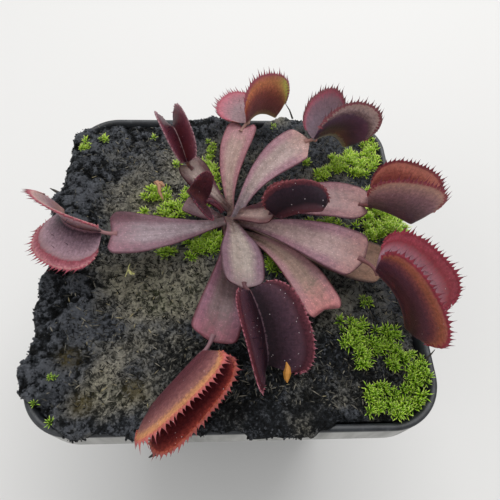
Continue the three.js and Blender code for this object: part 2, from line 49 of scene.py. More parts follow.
# ---------------------------------------------------------------- the camera
# Looks down on the pot from in front, turned a little to the right of square. The
# place and the turn are the photograph's own, worked out from the pot's rim.

VIEW_AZIMUTH = 4.78         # degrees right of straight ahead
VIEW_ELEVATION = 59.34      # degrees above the horizon
VIEW_ROLL = 3.83            # degrees
VIEW_PLACE = (-0.65, -60.56, 180.60)
FOCAL_IN_FRAMES = 0.92      # focal length over the frame's width
SENSOR = 36.0               # width of the sensor


def unit(v):
    """The vectors of an array, each at length one."""
    return v / np.linalg.norm(v, axis=-1, keepdims=True)


def put(name, data):
    """A new object of the data, in the scene at the origin."""
    made = bpy.data.objects.new(name, data)
    bpy.context.scene.collection.objects.link(made)
    return made


def aim(thing, place, sight, right):
    """Moves a camera or a lamp to place, in mm, with its -Z along the sight and its X to the right."""
    turn = Matrix(np.stack([right, np.cross(right, sight), -sight], axis=1).tolist())
    thing.matrix_world = turn.to_4x4()
    thing.location = [c * MM for c in place]


def line_of_sight(azimuth, elevation, roll):
    """The way that the camera looks, along the azimuth and down by the elevation, and the way to the right
    in its picture: level·cos roll + (level × sight)·sin roll."""
    a, e, r = (math.radians(angle) for angle in (azimuth, elevation, roll))
    sight = np.array([math.sin(a) * math.cos(e), math.cos(a) * math.cos(e), -math.sin(e)])
    level = np.array([math.cos(a), -math.sin(a), 0.0])
    return sight, level * math.cos(r) + np.cross(level, sight) * math.sin(r)


lens = bpy.data.cameras.new("camera")
lens.sensor_width = SENSOR
lens.lens = SENSOR * FOCAL_IN_FRAMES
lens.clip_start = 5 * MM
camera = put("camera", lens)
aim(camera, VIEW_PLACE, *line_of_sight(VIEW_AZIMUTH, VIEW_ELEVATION, VIEW_ROLL))
bpy.context.scene.camera = camera


# ---------------------------------------------------------------- the nursery pot
# A square tapered pot, injection moulded in thin black polypropylene: a flat lip, a skirt hanging from it,
# rounded corners and eight drain holes. The pale band on the outside of the skirt is a painted reflection of
# the pale floor, and the walls below carry a tenth of the same pale; the lip and the inside are dark.

RIM_HALF, _, POT_HEIGHT = np.array(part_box("pot")[1]) / MM
FOOT_HALF = 32.0
RIM_RADIUS = 11.5
FOOT_RADIUS = 9.0
LIP_WIDTH = 1.5
POT_WALL = 0.9
SKIRT_DEPTH = 10.0
SKIRT_WALL = 0.7
POT_FLOOR = 1.6
POT_MIDDLE = (5.0, 3.0)     # half width and corner radius of the smallest ring of the base
FOOT_ROUNDING = 0.8
CORNER_STEPS = 20
DRAIN_RADIUS = 3.2
DRAIN_REACH = 19.0          # from the middle of the base
DRAIN_CORNERS = 1.2         # how much further out the holes towards the corners are
DRAIN_SIDES = 32
DRAIN_CUT = 2.0             # how far the cutters stand out of the base, above and below
DUST_PER_MM = 0.42          # blotches of dust, 2.4 mm across
STREAKS_PER_MM = 0.26       # streaks of the painted reflection, 4 mm wide
STREAK_STRETCH = 0.12       # and eight times as long


def linear(code):
    """A #rrggbb colour as linear RGBA: c / 12.92 up to 0.04045, else ((c + 0.055) / 1.055) ** 2.4."""
    c = np.array([int(code[i:i + 2], 16) for i in (1, 3, 5)]) / 255
    return (*np.where(c <= 0.04045, c / 12.92, ((c + 0.055) / 1.055) ** 2.4), 1.0)


def smooth(t):
    """The cubic 3t² - 2t³ of t held between 0 and 1."""
    t = np.clip(t, 0, 1)
    return t * t * (3 - 2 * t)


def plug(node, sockets):
    """Gives each of the node's inputs, by name or number, a value or the output that feeds it."""
    for key, value in sockets.items():
        if isinstance(value, bpy.types.NodeSocket):
            node.id_data.links.new(value, node.inputs[key])
        else:
            node.inputs[key].default_value = value


def add(tree, kind, sockets=None, ramp=None, out=0, **settings):
    """Adds a shader node of a kind, with what feeds its sockets, and gives its output out. ramp holds a
    colour ramp's (place, #colour) stops, and settings are the node's own properties."""
    node = tree.nodes.new("ShaderNode" + kind)
    for name, value in settings.items():
        setattr(node, name, value)
    if ramp:
        stops = node.color_ramp.elements
        stops[0].position, stops[1].position = ramp[0][0], ramp[-1][0]
        for place, _ in ramp[1:-1]:
            stops.new(place)
        for stop, (_, code) in zip(stops, ramp):
            stop.color = linear(code)
    plug(node, sockets or {})
    return node.outputs[out]


def start_material(name, **constants):
    """A material with only its Principled shader; constants are that shader's inputs, with _ for a space."""
    made = bpy.data.materials.new(name)
    made.use_nodes = True
    shader = made.node_tree.nodes["Principled BSDF"]
    plug(shader, {key.replace("_", " "): value for key, value in constants.items()})
    return made, made.node_tree, shader


def mesh_of(name, points, faces):
    """A mesh from points in mm and lists of faces."""
    mesh = bpy.data.meshes.new(name)
    mesh.from_pydata((np.asarray(points) * MM).tolist(), [], [f for part in faces for f in part.tolist()])
    return mesh


def make_piece(name, points, faces, material, slot=None, replaced=(), fields=None, crease=40):
    """A mesh object from points in mm and lists of faces. fields are numbers kept at the points for the
    material to read, and edges sharper than crease degrees stay sharp."""
    mesh = mesh_of(name, points, faces)
    for field, values in (fields or {}).items():
        mesh.attributes.new(field, "FLOAT", "POINT").data.foreach_set("value", values.astype(np.float32))
    mesh.shade_smooth()
    mesh.set_sharp_from_angle(angle=math.radians(crease))
    mesh.materials.append(material)
    made = put(name, mesh)
    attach(made, BODY)
    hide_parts(*replaced)
    return made


def even_angles(count):
    """Angles round a full turn, evenly spaced."""
    return np.arange(count) * 2 * math.pi / count


def square_ring(half, radius, z):
    """Points of a square with rounded corners: each corner's arc is its centre plus radius·(cos, sin)."""
    corner = np.repeat(np.arange(4), CORNER_STEPS + 1)
    angle = (corner + np.tile(np.linspace(0, 1, CORNER_STEPS + 1), 4)) * math.pi / 2
    sign_x = np.where((corner == 0) | (corner == 3), 1, -1)
    sign_y = np.where(corner < 2, 1, -1)
    x = sign_x * (half - radius) + radius * np.cos(angle)
    y = sign_y * (half - radius) + radius * np.sin(angle)
    return np.stack([x, y, np.full_like(x, z)], axis=1)


def loft_faces(rings, count):
    """Four-sided faces between each ring of points and the next, and a fan to a middle point at each end."""
    low = (np.arange(rings - 1)[:, None] * count + np.arange(count)).ravel()
    beside = (np.arange(rings - 1)[:, None] * count + (np.arange(count) + 1) % count).ravel()
    sides = np.stack([low, beside, beside + count, low + count], axis=1)
    i, j = np.arange(count), (np.arange(count) + 1) % count
    first, last = rings * count, rings * count + 1
    top = (rings - 1) * count
    caps = [np.stack([np.full(count, first), j, i], axis=1),
            np.stack([np.full(count, last), top + i, top + j], axis=1)]
    return [sides, *caps]


def wall_at(z):
    """Half width and corner radius of the wall's outer face, in a straight taper from the foot to the lip."""
    share = z / POT_HEIGHT
    half = FOOT_HALF + share * (RIM_HALF - LIP_WIDTH + POT_WALL - FOOT_HALF)
    return half, FOOT_RADIUS + share * (RIM_RADIUS - LIP_WIDTH + POT_WALL - FOOT_RADIUS)


def pot_rings():
    """Half width, corner radius, height and film (1 where the outside shows the painted reflection of the
    floor) of the pot's rings, from the middle of its underside round the outside and back down the inside."""
    skirt_foot = POT_HEIGHT - SKIRT_DEPTH
    under_lip = POT_HEIGHT - POT_WALL
    rings = [(*POT_MIDDLE, 0.0, 0)]
    rings += [(wall_at(0)[0] - FOOT_ROUNDING, FOOT_RADIUS - FOOT_ROUNDING, 0.0, 0)]
    rings += [(*wall_at(z), z, 0.1) for z in (0.6, 1.2, 20, 40, 60, skirt_foot - 2)]
    rings += [(*wall_at(under_lip), under_lip, 0)]
    for inset, z, film in (
            (SKIRT_WALL, under_lip, 0), (SKIRT_WALL, skirt_foot + 0.2, 0.3),
            (SKIRT_WALL - 0.2, skirt_foot, 0.9), (0.2, skirt_foot, 1), (0, skirt_foot + 0.25, 1),
            (0, skirt_foot + 3, 1), (0, POT_HEIGHT - 1.3, 1), (0, POT_HEIGHT - 0.9, 0.2),
            (0.03, POT_HEIGHT - 0.4, 0), (0.2, POT_HEIGHT - 0.1, 0), (0.5, POT_HEIGHT, 0),
            (LIP_WIDTH - 0.4, POT_HEIGHT - 0.05, 0), (LIP_WIDTH, POT_HEIGHT - 0.4, 0)):
        rings.append((RIM_HALF - inset, RIM_RADIUS - inset, z, film))
    for z in (POT_HEIGHT - 2, POT_HEIGHT / 2, POT_FLOOR + 1, POT_FLOOR):
        half, radius = wall_at(z)
        inset = POT_WALL + (FOOT_ROUNDING if z == POT_FLOOR else 0)
        rings.append((half - inset, radius - inset, z, 0))
    rings.append((*POT_MIDDLE, POT_FLOOR, 0))
    return rings


def bore_drains(piece):
    """Cuts the drain holes through the piece's base with round cutters."""
    angle = even_angles(DRAIN_SIDES)
    circle = np.stack([np.cos(angle), np.sin(angle)], axis=1) * DRAIN_RADIUS
    low, high = -DRAIN_CUT, POT_FLOOR + DRAIN_CUT
    points, faces = [], []
    for hole in range(8):
        heading = hole * math.pi / 4
        reach = DRAIN_REACH * (DRAIN_CORNERS if hole % 2 else 1)
        middle = np.array([math.cos(heading), math.sin(heading)]) * reach
        base = sum(len(p) for p in points)
        points += [np.column_stack([circle + middle, np.full(DRAIN_SIDES, z)]) for z in (low, high)]
        points.append(np.array([[*middle, low], [*middle, high]]))
        faces += [part + base for part in loft_faces(2, DRAIN_SIDES)]
    cutters = put("drain_cutters", mesh_of("drain_cutters", np.concatenate(points), faces))
    cut = piece.modifiers.new("drains", "BOOLEAN")
    cut.object = cutters
    cut.operation = "DIFFERENCE"
    cut.solver = "EXACT"
    settled = piece.evaluated_get(bpy.context.evaluated_depsgraph_get())
    cut_mesh = bpy.data.meshes.new_from_object(settled)
    piece.modifiers.clear()
    piece.data = cut_mesh
    bpy.data.objects.remove(cutters)


def polypropylene():
    """Moulded black polypropylene, a soft gloss with dust on it; where the film field says, a pale painted
    reflection of the floor, run into upright streaks."""
    made, tree, shader = start_material("black_polypropylene_painted_reflection", Roughness=0.42, IOR=1.49)
    place = add(tree, "TexCoord", out="Object")
    film = add(tree, "Attribute", out="Fac", attribute_name="film")
    dust = add(tree, "TexNoise",
               {"Vector": place, "Scale": DUST_PER_MM / MM, "Detail": 5.0, "Roughness": 0.6})
    upright = add(tree, "Mapping", {"Vector": place, "Scale": (1.0, 1.0, STREAK_STRETCH)})
    runs = add(tree, "TexNoise", {"Vector": upright, "Scale": STREAKS_PER_MM / MM, "Detail": 3.0})
    dark = add(tree, "ValToRGB", {0: dust}, ramp=[(0.35, "#17191c"), (0.6, "#2c2f33"), (0.75, "#4a4c4d")])
    # painted reflection of the pale floor, laid on where the film field is high
    pale = add(tree, "ValToRGB", {0: runs}, ramp=[(0.3, "#73736f"), (0.5, "#9d9c98"), (0.7, "#b2b2ae")])
    colour = add(tree, "Mix", {"Factor": film, 6: dark, 7: pale}, out=2, data_type="RGBA")
    grain = add(tree, "Bump", {"Height": dust, "Strength": 0.12, "Distance": 0.3 * MM})
    plug(shader, {"Base Color": colour, "Normal": grain})
    return made


rings = pot_rings()
ring_points = [square_ring(half, radius, z) for half, radius, z, _ in rings]
ring_count = len(ring_points[0])
# film: how much of the painted reflection of the floor each ring gets
film = np.repeat([ring[3] for ring in rings], ring_count)
pot_points = np.concatenate([*ring_points, [[0, 0, 0], [0, 0, POT_FLOOR]]])
nursery_pot = make_piece("nursery_pot", pot_points, loft_faces(len(rings), ring_count), polypropylene(),
                         "pot_plastic", ["pot"], {"film": np.append(film, [0, 0])}, crease=50)
bore_drains(nursery_pot)


# ---------------------------------------------------------------- the peat
# Damp black peat, heaped in the middle and along the left, where an old crust of
# lumps hangs over the lip. Each grain is a dome, and the skin is olive with algae in
# the middle and blue-black where it is wet.

PEAT_LEVEL = 79.2
CROWN = (-0.5, 5.5)
WAVE_HEIGHT = 0.7
LUMP_SPACING = 6.5          # the crust's lumps
LUMP_HEIGHT = 1.8
GRAIN_SPACING = 2.6
CRUMB_SPACING = 1.1
PEAT_GAP = 0.3              # between the peat and the inside of the pot
INNER_HALF = RIM_HALF - LIP_WIDTH - PEAT_GAP
INNER_RADIUS = RIM_RADIUS - LIP_WIDTH - PEAT_GAP
PEAT_CELLS = 300
LIP_CLEAR = 0.35
EDGE_START = 0.88           # where the bed starts to rise to the lip, as a share of the way out
ROLL_START = 0.965          # where its edge starts to round off
OVERHANG = 0.25             # how far past the lip the left crust reaches, as a share of its way out
OVERHANG_STEP = 2.7         # that way out
CHIPS_PER_MM = 1.7          # broken chips, 0.6 mm
FLAKES_PER_MM = 1.5         # flakes, 0.7 mm
PATCHES_PER_MM = 0.15       # patches of a shade, 7 mm
BLOOM_PER_MM = 0.26         # algae, 4 mm
ALGAE_GREEN = "#4a5427"
OCHRE = "#554a24"
# middle, reach and height of the peat's heaps and hollows, and the same of its skin's
# pale green and of its ochre, whose heights are strengths
HEAPS = ((CROWN, 20, 2.4), ((-6, 43), 6, 2.6), ((18, 45), 5, 2.0), ((40, -40), 14, -0.8))
ALGAE_SPOTS = (((-20, -12), 13, 0.75), ((-25, 18), 12, 0.5), ((-8, 30), 9, 0.3), ((-28, -36), 7, 0.32),
               ((24, -14), 9, 0.35), ((-6, -34), 8, 0.1), ((-40, -20), 7, -0.6))
OCHRE_SPOTS = (((-21.4, -35.5), 2.3, 0.8), ((-32.1, -38.2), 2.3, 0.8), ((-36.3, -28.9), 2.3, 0.8))


def bump(x, y, at, reach):
    """A round hill, e to the minus (distance / reach)²."""
    return np.exp(-((x - at[0]) ** 2 + (y - at[1]) ** 2) / reach ** 2)


def hills(x, y, table):
    """The sum of height·bump over a table of (middle, reach, height) rows."""
    return sum(height * bump(x, y, at, reach) for at, reach, height in table)


def scatter(i, j, k):
    """A number from 0 to 1 for each lattice cell: the fraction of a large sine, so it looks random."""
    wave = np.sin(127.1 * i + 311.7 * j + 74.7 * k) * 43758.5453
    return wave - np.floor(wave)


def value_noise(x, y, size, seed):
    """Soft noise from -1 to 1: scattered values on a lattice of the given pitch, blended by the smooth
    cubic."""
    i, j = np.floor(x / size), np.floor(y / size)
    a, b = smooth(x / size - i), smooth(y / size - j)
    low = scatter(i, j, seed) * (1 - a) + scatter(i + 1, j, seed) * a
    high = scatter(i, j + 1, seed) * (1 - a) + scatter(i + 1, j + 1, seed) * a
    return 2 * (low * (1 - b) + high * b) - 1


def domes(x, y, size, seed=0):
    """Rounded grains, 0 to 1 high: each lattice cell holds one at a scattered place, and the height is the
    tallest of tall·sqrt(1 - (distance / radius)²) among the cells around."""
    u, v = x / size, y / size
    height = np.zeros_like(u)
    for di in (-1, 0, 1):
        for dj in (-1, 0, 1):
            i, j = np.floor(u) + di, np.floor(v) + dj
            far = np.hypot(u - i - scatter(i, j, seed + 1), v - j - scatter(i, j, seed + 2))
            radius = 0.5 + 0.4 * scatter(i, j, seed + 3)
            tall = 0.5 + 0.5 * scatter(i, j, seed + 4)
            height = np.maximum(height, tall * np.sqrt(np.clip(1 - (far / radius) ** 2, 0, None)))
    return height


def crust(x, y):
    """1 on the lumpy crust along the left and across the back left, fading to 0 on the settled peat."""
    left = smooth((-x - 30 + 2 * np.sin(0.35 * y)) / 7)
    back = smooth((y - 31 + 2 * np.sin(0.4 * x)) / 8) * smooth((12 - x) / 16)
    return np.maximum(left, back)


def settled(x, y):
    """Height of the peat without its fine grains: heaped at the crown and the left, two lumps at the back,
    low at the right, crossed waves all over and big domes on the crust."""
    left = 2.6 * smooth((-x - 24) / 20) * smooth((y + 42) / 30)
    right = -1.9 * smooth((x - 26) / 14)
    coarse = np.sin(0.31 * x + 1.3) * np.cos(0.27 * y - 0.6)
    middle = np.sin(0.71 * x - 0.43 * y) * np.sin(0.53 * y + 0.37 * x + 2.1)
    lumpy = LUMP_HEIGHT * crust(x, y) * (domes(x, y, LUMP_SPACING) - 0.4)
    waves = WAVE_HEIGHT * (0.6 * coarse + 0.4 * middle)
    return PEAT_LEVEL + hills(x, y, HEAPS) + left + right + lumpy + waves


def crumbs(x, y):
    """Height of the fine relief: grains, higher on the crust, small crumbs all over, folds between them, and
    less of both on the smooth wet patch at the front."""
    rough = crust(x, y)
    quiet = 1 - 0.6 * bump(x, y, [7, -40], 10)
    grains = (0.15 + 0.75 * rough) * domes(x, y, GRAIN_SPACING, 10)
    fine = (0.45 + 0.1 * rough) * domes(x + 0.3 * y, y - 0.2 * x, CRUMB_SPACING, 20)
    folds = 0.3 * value_noise(x, y, 3.4, 31) + 0.35 * value_noise(x + 0.4 * y, y, 0.8, 32)
    return quiet * (grains + fine) + folds - 0.45


def ground(x, y):
    """Height of the finished surface."""
    return settled(x, y) + crumbs(x, y)


def standing(x, y):
    """How light the peat's colour is, as painted light and shade for its relief: lighter on top of a grain or
    a lump, darker in the hollows between; also darker where it is soaked at the front, and a little darker
    all along the front."""
    lumpy = 0.45 * domes(x, y, LUMP_SPACING) + 0.4 * domes(x, y, GRAIN_SPACING, 10) - 0.66
    front = smooth((-y - 20) / 8)
    soaked = front * smooth((x + 20) / 10) * smooth((40 - x) / 8)
    return 0.06 + 0.24 * crumbs(x, y) + crust(x, y) * lumpy - 0.14 * soaked - 0.05 * front


def spill(x, y):
    """How far the peat comes over the lip: 0 stays inside, 1 reaches its outer edge, more hangs past it."""
    left = smooth((-x - 30) / 8) * smooth((y + 41) / 5) * smooth((46 - y) / 10)
    clump = 0.7 * bump(x, y, [-45, 12.5], 4.5)
    front = smooth((-y - 36) / 6) * smooth((x + 40) / 6) * smooth((24 - x) / 8)
    back = smooth((y - 36) / 5) * np.maximum(bump(x, 0, [-6, 0], 9), bump(x, 0, [16, 0], 7))
    ragged = 0.25 * value_noise(x, y, 1.7, 41) + 0.45 * value_noise(x, y, 4.1, 42)
    hanging = left * (1 + OVERHANG * (0.6 + 0.4 * np.sin(0.55 * y)))
    reach = np.maximum(hanging, np.maximum(front, back)) + clump
    return np.clip(reach + ragged * smooth(reach / 0.4), 0, None)


def rounded_square(u, v, half, radius):
    """Squeezes a square grid into a rounded one, ring by ring: the ring through a point, of half width
    m·half, has corners of radius m·radius. Gives the points, the way out from each, and m."""
    m = np.maximum(np.abs(u), np.abs(v))
    point = np.stack([u, v], axis=-1) * half
    core = (m * (half - radius))[..., None]
    inside = np.clip(point, -core, core)
    outward = point - inside
    outward /= np.maximum(np.linalg.norm(outward, axis=-1, keepdims=True), 1e-9)
    return inside + outward * (m * radius)[..., None], outward, m


def sheet_quads(index):
    """Four-sided faces of a grid of point numbers."""
    return np.stack([index[:-1, :-1], index[1:, :-1], index[1:, 1:], index[:-1, 1:]], axis=-1).reshape(-1, 4)


def sheet_rim(index):
    """The point numbers round the edge of such a grid."""
    return np.concatenate([index[:-1, 0], index[-1, :-1], index[:0:-1, -1], index[0, :0:-1]])


def band(near, far):
    """Four-sided faces from one ring of point numbers to the next."""
    return np.stack([near, far, np.roll(far, -1), np.roll(near, -1)], axis=1)


def peat_surface():
    """The top as a square grid laid into the pot's rounded outline, then a wall down inside the pot: the
    last cells swell over the lip where it spills and round off to their edge."""
    line = np.linspace(-1, 1, PEAT_CELLS + 1)
    u, v = np.meshgrid(line, line, indexing="ij")
    place, outward, m = rounded_square(u, v, INNER_HALF, INNER_RADIUS)
    rim = rounded_square(u / np.maximum(m, 1e-9), v / np.maximum(m, 1e-9), RIM_HALF, RIM_RADIUS)[0]
    amount = spill(rim[..., 0], rim[..., 1])
    step = (RIM_HALF - INNER_HALF) * np.minimum(amount, 1) + OVERHANG_STEP * np.maximum(amount - 1, 0)
    step = step * smooth((m - EDGE_START) / (1 - EDGE_START))
    place = place + outward * step[..., None]
    x, y = place[..., 0], place[..., 1]
    grain = crumbs(x, y)
    natural = settled(x, y)
    over = smooth(amount / 0.25)
    brow = np.minimum(natural, POT_HEIGHT - 1.1) * (1 - over) + np.maximum(natural, POT_HEIGHT + 1.2) * over
    z = natural + (brow - natural) * smooth((m - EDGE_START) / 0.08) + grain
    roll = np.clip((m - ROLL_START) / (1 - ROLL_START), 0, 1)
    drop = (z - POT_HEIGHT - LIP_CLEAR) * over + 0.8 * (1 - over)
    z = z - np.maximum(drop, 0) * (1 - np.sqrt(1 - roll ** 2 + 1e-9))
    inside = (wall_at(np.minimum(z, POT_HEIGHT - 2))[0] - POT_WALL - PEAT_GAP) / INNER_HALF
    drawn_in = 1 - np.clip(1 - inside, 0, None) * smooth((m - EDGE_START) / 0.1) * (1 - over)
    top = np.stack([x * drawn_in, y * drawn_in, z], axis=-1).reshape(-1, 3)

    n = PEAT_CELLS + 1
    index = np.arange(n * n).reshape(n, n)
    loop = sheet_rim(index)
    edge = top[loop]
    tuck = np.minimum(INNER_HALF / np.abs(edge[:, :2]).max(axis=1), 1)[:, None]
    low = edge[:, 2] - 0.3
    walls = [np.column_stack([edge[:, :2] * tuck, np.minimum(low, POT_HEIGHT + LIP_CLEAR)])]
    for height in (POT_HEIGHT - 6, POT_HEIGHT / 2, POT_FLOOR + 1.4):
        half, radius = (size - POT_WALL - PEAT_GAP for size in wall_at(height))
        ring = rounded_square(u.ravel()[loop], v.ravel()[loop], half, radius)[0]
        walls.append(np.column_stack([ring, np.full(len(edge), height)]))
    count = len(loop)
    rows = [loop] + [n * n + k * count + np.arange(count) for k in range(len(walls))]
    bands = [band(near, far) for near, far in zip(rows, rows[1:])]
    middle = n * n + len(walls) * count
    base = np.stack([np.full(count, middle), np.roll(rows[-1], -1), rows[-1]], axis=1)
    points = np.concatenate([top, *walls, [[0, 0, POT_FLOOR + PEAT_GAP]]])
    return points, [sheet_quads(index), *bands, base]


def damp_peat():
    """Damp peat: flakes of less than a millimetre, each of its own shade, with black gaps between them that
    are painted shade; the grain field adds painted light on the tops of grains and lumps and painted shade in
    their hollows; grey tan in the middle, olive where algae grow, ochre in spots, blue-black and wet on the
    crust."""
    made, tree, shader = start_material("damp_peat", IOR=1.4, Specular_IOR_Level=0.3)
    place = add(tree, "TexCoord", out="Object")
    wet, algae, high, rust = (add(tree, "Attribute", out="Fac", attribute_name=field)
                              for field in ("crust", "algae", "grain", "ochre"))
    chip = add(tree, "TexNoise",
               {"Vector": place, "Scale": CHIPS_PER_MM / MM, "Detail": 6.0, "Roughness": 0.75})
    patch = add(tree, "TexNoise",
                {"Vector": place, "Scale": PATCHES_PER_MM / MM, "Detail": 4.0, "Roughness": 0.65})
    sway = add(tree, "VectorMath", {0: chip.node.outputs["Color"], 1: (0.5, 0.5, 0.5)},
               operation="SUBTRACT")
    warped = add(tree, "VectorMath", {0: sway, 1: (MM, MM, MM), 2: place}, operation="MULTIPLY_ADD")
    gaps = add(tree, "TexVoronoi", {"Vector": warped, "Scale": FLAKES_PER_MM / MM})
    # painted light and shade: the grain field lightens the tops of grains and lumps and darkens the hollows
    own = add(tree, "Math", {0: gaps.node.outputs["Color"], 1: 0.36, 2: high}, operation="MULTIPLY_ADD")
    lit = add(tree, "Math", {0: chip, 1: own}, operation="ADD")
    drift = add(tree, "Math", {0: patch, 1: 0.5, 2: lit}, operation="MULTIPLY_ADD")
    black = add(tree, "ValToRGB", {0: drift}, ramp=[(0.56, "#050607"), (0.8, "#212428"), (1.0, "#5e6167")])
    olive = add(tree, "ValToRGB", {0: drift}, ramp=[(0.6, "#0b0b09"), (0.8, "#413f37"), (1.0, "#aaa492")])
    shift = add(tree, "Math", {0: patch, 1: algae}, operation="ADD")
    green = add(tree, "MapRange", {"Value": shift, "From Min": 0.5, "From Max": 1.0})
    bloom = add(tree, "TexNoise", {"Vector": place, "Scale": BLOOM_PER_MM / MM, "Detail": 3.0})
    film = add(tree, "Math", {0: bloom, 1: 0.3, 2: algae}, operation="MULTIPLY_ADD")
    alive = add(tree, "MapRange", {"Value": film, "From Min": 0.5, "From Max": 1.1, "To Max": 0.55})
    coat = black
    for share, over in ((green, olive), (wet, black), (alive, linear(ALGAE_GREEN)), (rust, linear(OCHRE))):
        coat = add(tree, "Mix", {"Factor": share, 6: coat, 7: over}, out=2, data_type="RGBA")
    gloss = add(tree, "MapRange", {"Value": wet, "To Min": 0.75, "To Max": 0.42})
    depth = add(tree, "Math", {0: gaps, 1: -0.8, 2: chip}, operation="MULTIPLY_ADD")
    relief = add(tree, "Bump", {"Height": depth, "Strength": 1.0, "Distance": 0.9 * MM})
    plug(shader, {"Base Color": coat, "Roughness": gloss, "Normal": relief})
    return made


def algae_at(x, y):
    """How pale and green the skin is: most in the middle of the left half, less on the wet front and right,
    and least in the dark bands that cross the heap."""
    band_across = smooth((x + 35) / 6) * smooth((2 - x) / 6) * bump(0, y, (0, -21.5), 2.6)
    return hills(x, y, ALGAE_SPOTS) - 0.35 * band_across + 0.22 * value_noise(x, y, 7.5, 61)


peat_material = damp_peat()
peat_points, peat_faces = peat_surface()
across, deep = peat_points[:, 0], peat_points[:, 1]
# grain: painted light and shade for the relief of the bed
peat_fields = {"ochre": hills(across, deep, OCHRE_SPOTS), "crust": crust(across, deep),
               "algae": algae_at(across, deep), "grain": standing(across, deep)}
make_piece("peat_bed", peat_points, peat_faces, peat_material, "peat", ["soil"], peat_fields, crease=180)


# ---------------------------------------------------------------- the loose crumbs
# Broken bits of peat lying all over the bed, thickest on the crust, and along the lip,
# where some have slid over the edge and cling to the top of the skirt.

CRUMB_COUNT = 4500
CRUMB_HALF = (0.16, 0.62)   # half lengths of the smallest and the largest
CRUMB_SHADES = (-0.28, 0.1)
CHIP_CORNERS = 12
CLING_COUNT = 260
CLING_HALF = (0.15, 0.4)
CLING_DROP = 1.7            # how far down the skirt they hang


def chips(centres, half, rng):
    """Closed irregular chips: two poles and two rings of five corners, each corner pushed in or out at
    random, made long and flat, and turned any way."""
    count = len(centres)
    angle = even_angles(5)
    rings = [np.column_stack([0.9 * np.cos(angle + turn), 0.9 * np.sin(angle + turn), np.full(5, z)])
             for turn, z in ((0, -0.45), (math.pi / 5, 0.45))]
    corners = np.concatenate([*rings, [[0, 0, -1], [0, 0, 1]]])
    corners = corners * rng.uniform(0.65, 1.35, (count, CHIP_CORNERS, 1))
    corners = corners * np.array([1, 0.65, 0.5]) * half[:, None, None]
    first, second, _ = unit(rng.normal(size=(3, count, 3)))
    second = unit(np.cross(first, second))
    axes = np.stack([first, second, np.cross(first, second)], axis=1)
    points = np.einsum("nij,njk->nik", corners, axes) + centres[:, None]
    starts = np.arange(count)[:, None, None] * CHIP_CORNERS
    return points.reshape(-1, 3), [(part + starts).reshape(-1, part.shape[1]) for part in loft_faces(2, 5)]


def loose_crumbs():
    """Crumbs at random points of the bed's top, three times as close on the crust and six times along a
    spilled edge, and a few more over that edge on the skirt."""
    rng = np.random.default_rng(7)
    top = peat_points[:(PEAT_CELLS + 1) ** 2]
    reach = np.abs(top[:, :2]).max(axis=1)
    edge = (reach > RIM_HALF - 1.2) & (spill(top[:, 0], top[:, 1]) > 0.3)
    weight = 1 + 2 * crust(top[:, 0], top[:, 1]) + 5 * edge
    centres = top[rng.choice(len(top), CRUMB_COUNT, p=weight / weight.sum())]
    half = CRUMB_HALF[0] + (CRUMB_HALF[1] - CRUMB_HALF[0]) * rng.uniform(0, 1, CRUMB_COUNT) ** 2.2
    over = np.flatnonzero(edge & (reach > RIM_HALF - 0.3))
    hung = top[rng.choice(over, CLING_COUNT)]
    hung = hung - np.outer(rng.uniform(0, 1, CLING_COUNT) ** 2, [0, 0, CLING_DROP])
    small = rng.uniform(*CLING_HALF, CLING_COUNT)
    centres = np.concatenate([centres + rng.normal(0, 0.12, centres.shape), hung])
    points, faces = chips(centres, np.concatenate([half, small]), rng)
    fields = {"crust": crust(points[:, 0], points[:, 1]), "algae": algae_at(points[:, 0], points[:, 1]),
              "grain": np.repeat(rng.uniform(*CRUMB_SHADES, len(centres)), CHIP_CORNERS)}
    return points, faces, fields


points, faces, fields = loose_crumbs()
make_piece("peat_crumbs", points, faces, peat_material, "peat", [], fields, crease=30)


# ---------------------------------------------------------------- the crown
# The top of the rhizome: a short pink-white bulb of packed leaf bases, half buried in
# the peat where the stalks come together.

CROWN_TOP = 84.2
CROWN_DEPTH = 16
SCARS_PER_MM = 0.9
# radius and height from the top
CROWN_PROFILE = ((1.2, -CROWN_DEPTH), (1.5, -15.4), (2.0, -10), (2.5, -5), (2.6, -3), (2.4, -1.6),
                 (1.7, -0.6), (0.7, -0.1))


def crown_bulb():
    """A turned bulb swollen by six leaf bases: the radius is the profile's, times 1 + 0.09·|sin 3a| round
    the axis."""
    profile = np.array(CROWN_PROFILE)
    angle = even_angles(48)
    radius = profile[:, 0, None] * (1 + 0.09 * np.abs(np.sin(3 * angle)))
    height = np.broadcast_to(profile[:, 1, None] + CROWN_TOP, radius.shape)
    points = np.stack([CROWN[0] + radius * np.cos(angle), CROWN[1] + radius * np.sin(angle), height], axis=-1)
    ends = [[*CROWN, CROWN_TOP - CROWN_DEPTH], [*CROWN, CROWN_TOP]]
    return np.concatenate([points.reshape(-1, 3), ends]), loft_faces(*radius.shape)


def bulb_flesh():
    """Fresh rhizome flesh: waxy, pale pink with brown scale scars."""
    made, tree, shader = start_material("rhizome_flesh_waxy", Roughness=0.5, Subsurface_Weight=0.1)
    place = add(tree, "TexCoord", out="Object")
    scars = add(tree, "TexNoise", {"Vector": place, "Scale": SCARS_PER_MM / MM, "Detail": 4.0})
    colour = add(tree, "ValToRGB", {0: scars},
                 ramp=[(0.35, "#3a2226"), (0.55, "#6a474a"), (0.75, "#a5837c")])
    plug(shader, {"Base Color": colour})
    return made


make_piece("crown_bulb", *crown_bulb(), bulb_flesh(), "rhizome_flesh", ["rhizome"])


# ---------------------------------------------------------------- the winged stalks
# Each leaf's stalk is a flat green wing turned mauve by the sun, narrow at the crown,
# broad and blunt at its end, thin at the edges, grooved along the middle. A slim neck
# goes on from it to the trap. Two old ones are brown.

